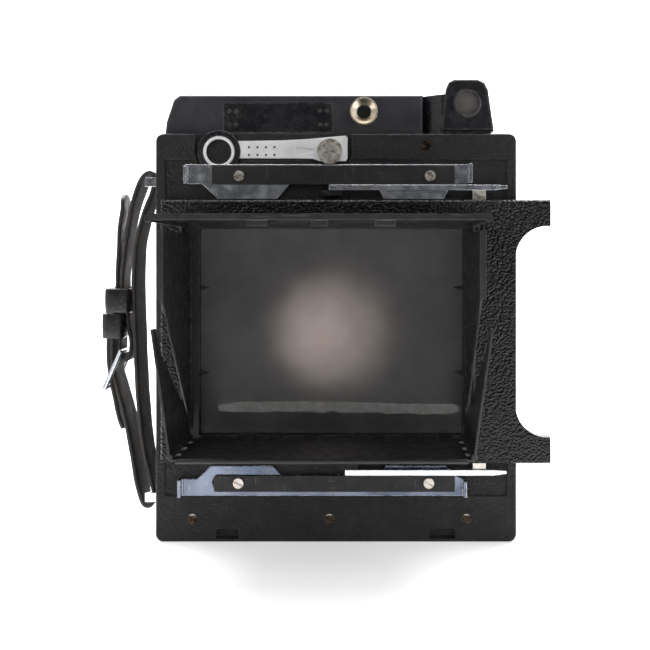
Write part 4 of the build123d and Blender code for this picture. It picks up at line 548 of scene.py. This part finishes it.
def hand_strap():
    """The worn strap: one long run over both loops, a free tip, a short end and a fold in the buckle."""
    long_run = ribbon("strap_long_run", (
        (-105.0, 108, -1), (-105.2, 117, -1), (-104.6, 129, -1), (-101.2, 152, 0), (-97.4, 165, 2),
        (-94.3, 171.2, 2), (-91.3, 172.9, 0), (-89.2, 169.8, 0), (-90.4, 163, 0), (-94.1, 153, 2),
        (-97.8, 137, 4), (-98.6, 118, 5), (-98.0, 98, 5), (-97.3, 78, 5), (-96.1, 59, 5), (-94.1, 40, 4),
        (-90.9, 24, 1), (-89.3, 16.5, 0), (-91.2, 11.2, 0), (-94.5, 12.0, 1), (-96.9, 20, 3), (-98.8, 31, 4),
        (-101.0, 45, 5), (-103.8, 57, 5), (-106.8, 68, 4), (-109.0, 77, 2), (-109.8, 88, 1), (-109.2, 99, 0),
        (-108.0, 109, 0)), 17.5, 2.2)
    ribbon("strap_free_tip", (
        (-108.4, 95, -1), (-107.9, 106, -1), (-107.6, 117, -1), (-107.3, 129, -1), (-106.4, 146, -1),
        (-105.2, 156, -1), (-104.9, 162.8, -1)), 16.0, 1.9, (0.0, 0.85), worn=False)
    ribbon("strap_short_end", (
        (-111.2, 98, -1), (-111.9, 89, -1), (-111.4, 79, 0), (-109.6, 68, 0), (-107.2, 57, 0),
        (-105.3, 48, 0)), 17.0, 2.0, (0.0, 0.3), worn=False)
    ribbon("strap_fold", (
        (-103.0, 110, 0), (-102.4, 100, 0), (-100.9, 91, 0), (-101.3, 84.5, 0), (-104.0, 81.6, 0),
        (-106.3, 85, 0), (-106.6, 93, 0)), 15.0, 1.8)
    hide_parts("strap")
    low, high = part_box("strap_keepers")
    split = (low.z + high.z) / 2
    y = (low.y, high.y)
    upper = keeper("keeper_upper", (low.x + 1.3 * MM, high.x), (split + 0.3 * MM, high.z), y)
    keeper("keeper_lower", (low.x, low.x + 10.4 * MM), (low.z, split - 0.1 * MM), y)
    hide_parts("strap_keepers")


hand_strap()


def arm_marks():
    """Two rows of small punched marks on the folded sight's arm."""
    low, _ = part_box("peep_arm")
    surface = Surface("arm_marks")
    clouds = surface.clouds(900, 3.0)
    surface.raise_by(clouds, 0.00002)
    tone = surface.mix(clouds, (0.004, 0.004, 0.005), (0.02, 0.018, 0.018))
    surface.close(tone, surface.spread(clouds, 0.3, 0.7, 0.4, 0.6))
    verts, faces = [], []
    columns, rows, column_pitch, row_pitch = 4, 2, 3.95, 3.6
    first_x, first_z = -40.4, 182.8
    size, y = 0.45 * MM, low.y - 0.00004
    for column in range(columns):
        for row in range(rows):
            x, z = (first_x + column_pitch * column) * MM, (first_z - row_pitch * row) * MM
            a = len(verts)
            verts += [(x - size, y, z - size), (x + size, y, z - size),
                      (x + size, y, z + size), (x - size, y, z + size)]
            faces.append((a, a + 1, a + 2, a + 3))
    new_piece("arm_marks", verts, faces, surface, "peep_sight")


arm_marks()


# ---- Residue on the glass -------------------------------------------------------
def tape_strip():
    """What is left of a strip of tape along the foot of the ground glass, with torn edges and runs."""
    low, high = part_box("ground_glass")
    surface = Surface("tape_residue")
    clouds = surface.clouds(300, 5.0)
    tone = surface.mix(surface.spread(clouds, 0.3, 0.7), (0.34, 0.335, 0.32), (0.50, 0.49, 0.47))
    surface.raise_by(surface.clouds(1600, 4.0), 0.00004)
    surface.close(tone, surface.spread(clouds, 0.3, 0.7, 0.5, 0.75))
    x0, x1 = low.x + 10.3 * MM, high.x - 3.5 * MM
    top, bottom = low.z + 16.5 * MM, low.z + 11.8 * MM
    y = low.y - 0.06 * MM
    count = 150
    verts, faces = [], []
    for i in range(count + 1):
        t = i / count
        x = x0 + t * (x1 - x0)
        torn = 0.7 * MM * noise.noise(Vector((t * 34, 3.0, 0)))
        runs = 1.1 * MM * noise.noise(Vector((t * 22, 9.0, 0)))
        runs += 0.6 * MM * noise.noise(Vector((t * 90, 1.0, 0)))
        taper = 1.2 * MM * (1 - min(1.0, 14 * t, 30 * (1 - t)))
        sway = 0.6 * MM * math.sin(5 * t)
        verts.append((x, y, top + torn - taper + sway))
        verts.append((x, y, bottom + runs + taper + sway))
    for i in range(count):
        a = 2 * i
        faces.append((a, a + 1, a + 3, a + 2))
    new_piece("tape_residue", verts, faces, surface, "focusing_panel")


tape_strip()


# ---- Stage --------------------------------------------------------------------
def stage_surface():
    """A pale floor that glows a little under and behind the camera, and fades out in front of it."""
    surface = Surface("floor")
    clouds = surface.clouds(3, 3.0)
    tone = surface.mix(surface.spread(clouds, 0.3, 0.7), (0.93, 0.93, 0.93), (0.96, 0.96, 0.96))
    surface.raise_by(surface.clouds(500, 3.0), 0.00002)
    surface.feed(surface.shader.inputs["Emission Color"], tone)
    lit = surface.spread(surface.height_of("Y"), -0.42, -0.19, 0.0, 0.50)
    surface.feed(surface.shader.inputs["Emission Strength"], lit)
    return surface.close(tone, surface.spread(clouds, 0.3, 0.7, 0.32, 0.42))


def floor_and_backdrop():
    """A flat floor that sweeps up into the backdrop behind."""
    half, back, top, radius, steps = 3, 1.4, 4.0, 0.9, 12
    verts = [(-half, -half, 0), (half, -half, 0), (half, back, 0), (-half, back, 0)]
    faces = [(0, 1, 2, 3)]
    for i in range(1, steps + 1):
        angle = math.pi / 2 * i / steps
        y, z = back + radius * math.sin(angle), radius * (1 - math.cos(angle))
        verts += [(-half, y, z), (half, y, z)]
    verts += [(-half, back + radius, top), (half, back + radius, top)]
    faces.append((3, 2, 5, 4))
    for i in range(steps):
        a = 4 + 2 * i
        faces.append((a, a + 1, a + 3, a + 2))
    mesh = bpy.data.meshes.new("floor")
    mesh.from_pydata(verts, [], faces)
    for face in mesh.polygons:
        face.use_smooth = True
    mesh.materials.append(stage_surface().material)
    floor = bpy.data.objects.new("floor", mesh)
    bpy.context.scene.collection.objects.link(floor)


def soft_light(name, place, target, size, power):
    data = bpy.data.lights.new(name, "AREA")
    data.shape = "RECTANGLE"
    data.size, data.size_y = size
    data.energy = power
    light = bpy.data.objects.new(name, data)
    light.location = place
    light.rotation_euler = (Vector(target) - Vector(place)).to_track_quat("-Z", "Y").to_euler()
    bpy.context.scene.collection.objects.link(light)
    return light


def world():
    """White to the camera; for everything else a sky that is dark low down and brighter overhead."""
    low_sky, high_sky, seen = 0.06, 0.60, 1.0
    made = bpy.data.worlds.new("studio")
    made.use_nodes = True
    tree = made.node_tree
    background = tree.nodes["Background"]
    path = tree.nodes.new("ShaderNodeLightPath")
    strength = tree.nodes.new("ShaderNodeMapRange")
    direction = tree.nodes.new("ShaderNodeTexCoord")
    split = tree.nodes.new("ShaderNodeSeparateXYZ")
    overhead = tree.nodes.new("ShaderNodeMapRange")
    overhead.inputs["To Min"].default_value = low_sky
    overhead.inputs["To Max"].default_value = high_sky
    tree.links.new(direction.outputs["Generated"], split.inputs[0])
    tree.links.new(split.outputs["Z"], overhead.inputs["Value"])
    tree.links.new(overhead.outputs["Result"], strength.inputs["To Min"])
    strength.inputs["To Max"].default_value = seen
    tree.links.new(path.outputs["Is Camera Ray"], strength.inputs["Value"])
    tree.links.new(strength.outputs["Result"], background.inputs["Strength"])
    background.inputs["Color"].default_value = (1, 1, 1, 1)
    bpy.context.scene.world = made


floor_and_backdrop()
world()
middle = (0.0, 0.0, 0.1)
soft_light("left_box", (-1.1, -0.75, 0.75), middle, (0.9, 1.2), 5)
soft_light("right_box", (1.15, -0.7, 0.7), middle, (0.9, 1.2), 6)
soft_light("top_box", (0.0, 0.40, 1.3), middle, (2.0, 1.3), 52)
soft_light("backdrop_light", (0.0, 1.0, 1.6), (0, 2.3, 0.6), (2.4, 0.8), 60)

# The lens throws a hot spot on the ground glass: two disc lights in front of it light nothing else.
glass_only = bpy.data.collections.new("lit_through_the_lens")
glass_only.objects.link(frame["nodes"]["ground_glass"])
lens_side = (("lens_side_core", 0.0004, 0.020, 3.0), ("lens_side_wide", 0.0054, 0.088, 18.0))
for name, x, across, power in lens_side:
    through = soft_light(name, (x, 0.048, 0.0982), (x - 0.0024, 0.013, 0.0977), (across, across), power)
    through.data.shape = "DISK"
    through.visible_camera = False
    through.light_linking.receiver_collection = glass_only

camera_data = bpy.data.cameras.new("camera")
camera_data.lens = 57.6
camera_data.sensor_width = 36.0
camera_data.shift_x = -0.0708
camera_data.shift_y = -0.103
camera_data.clip_start = 0.01
camera = bpy.data.objects.new("camera", camera_data)
camera.location = (0.0162, -0.525, 0.1314)
camera.rotation_euler = (math.pi / 2, 0, 0)
bpy.context.scene.collection.objects.link(camera)
bpy.context.scene.camera = camera
bpy.context.scene.view_settings.view_transform = "Standard"
bpy.context.scene.cycles.transparent_max_bounces = 12
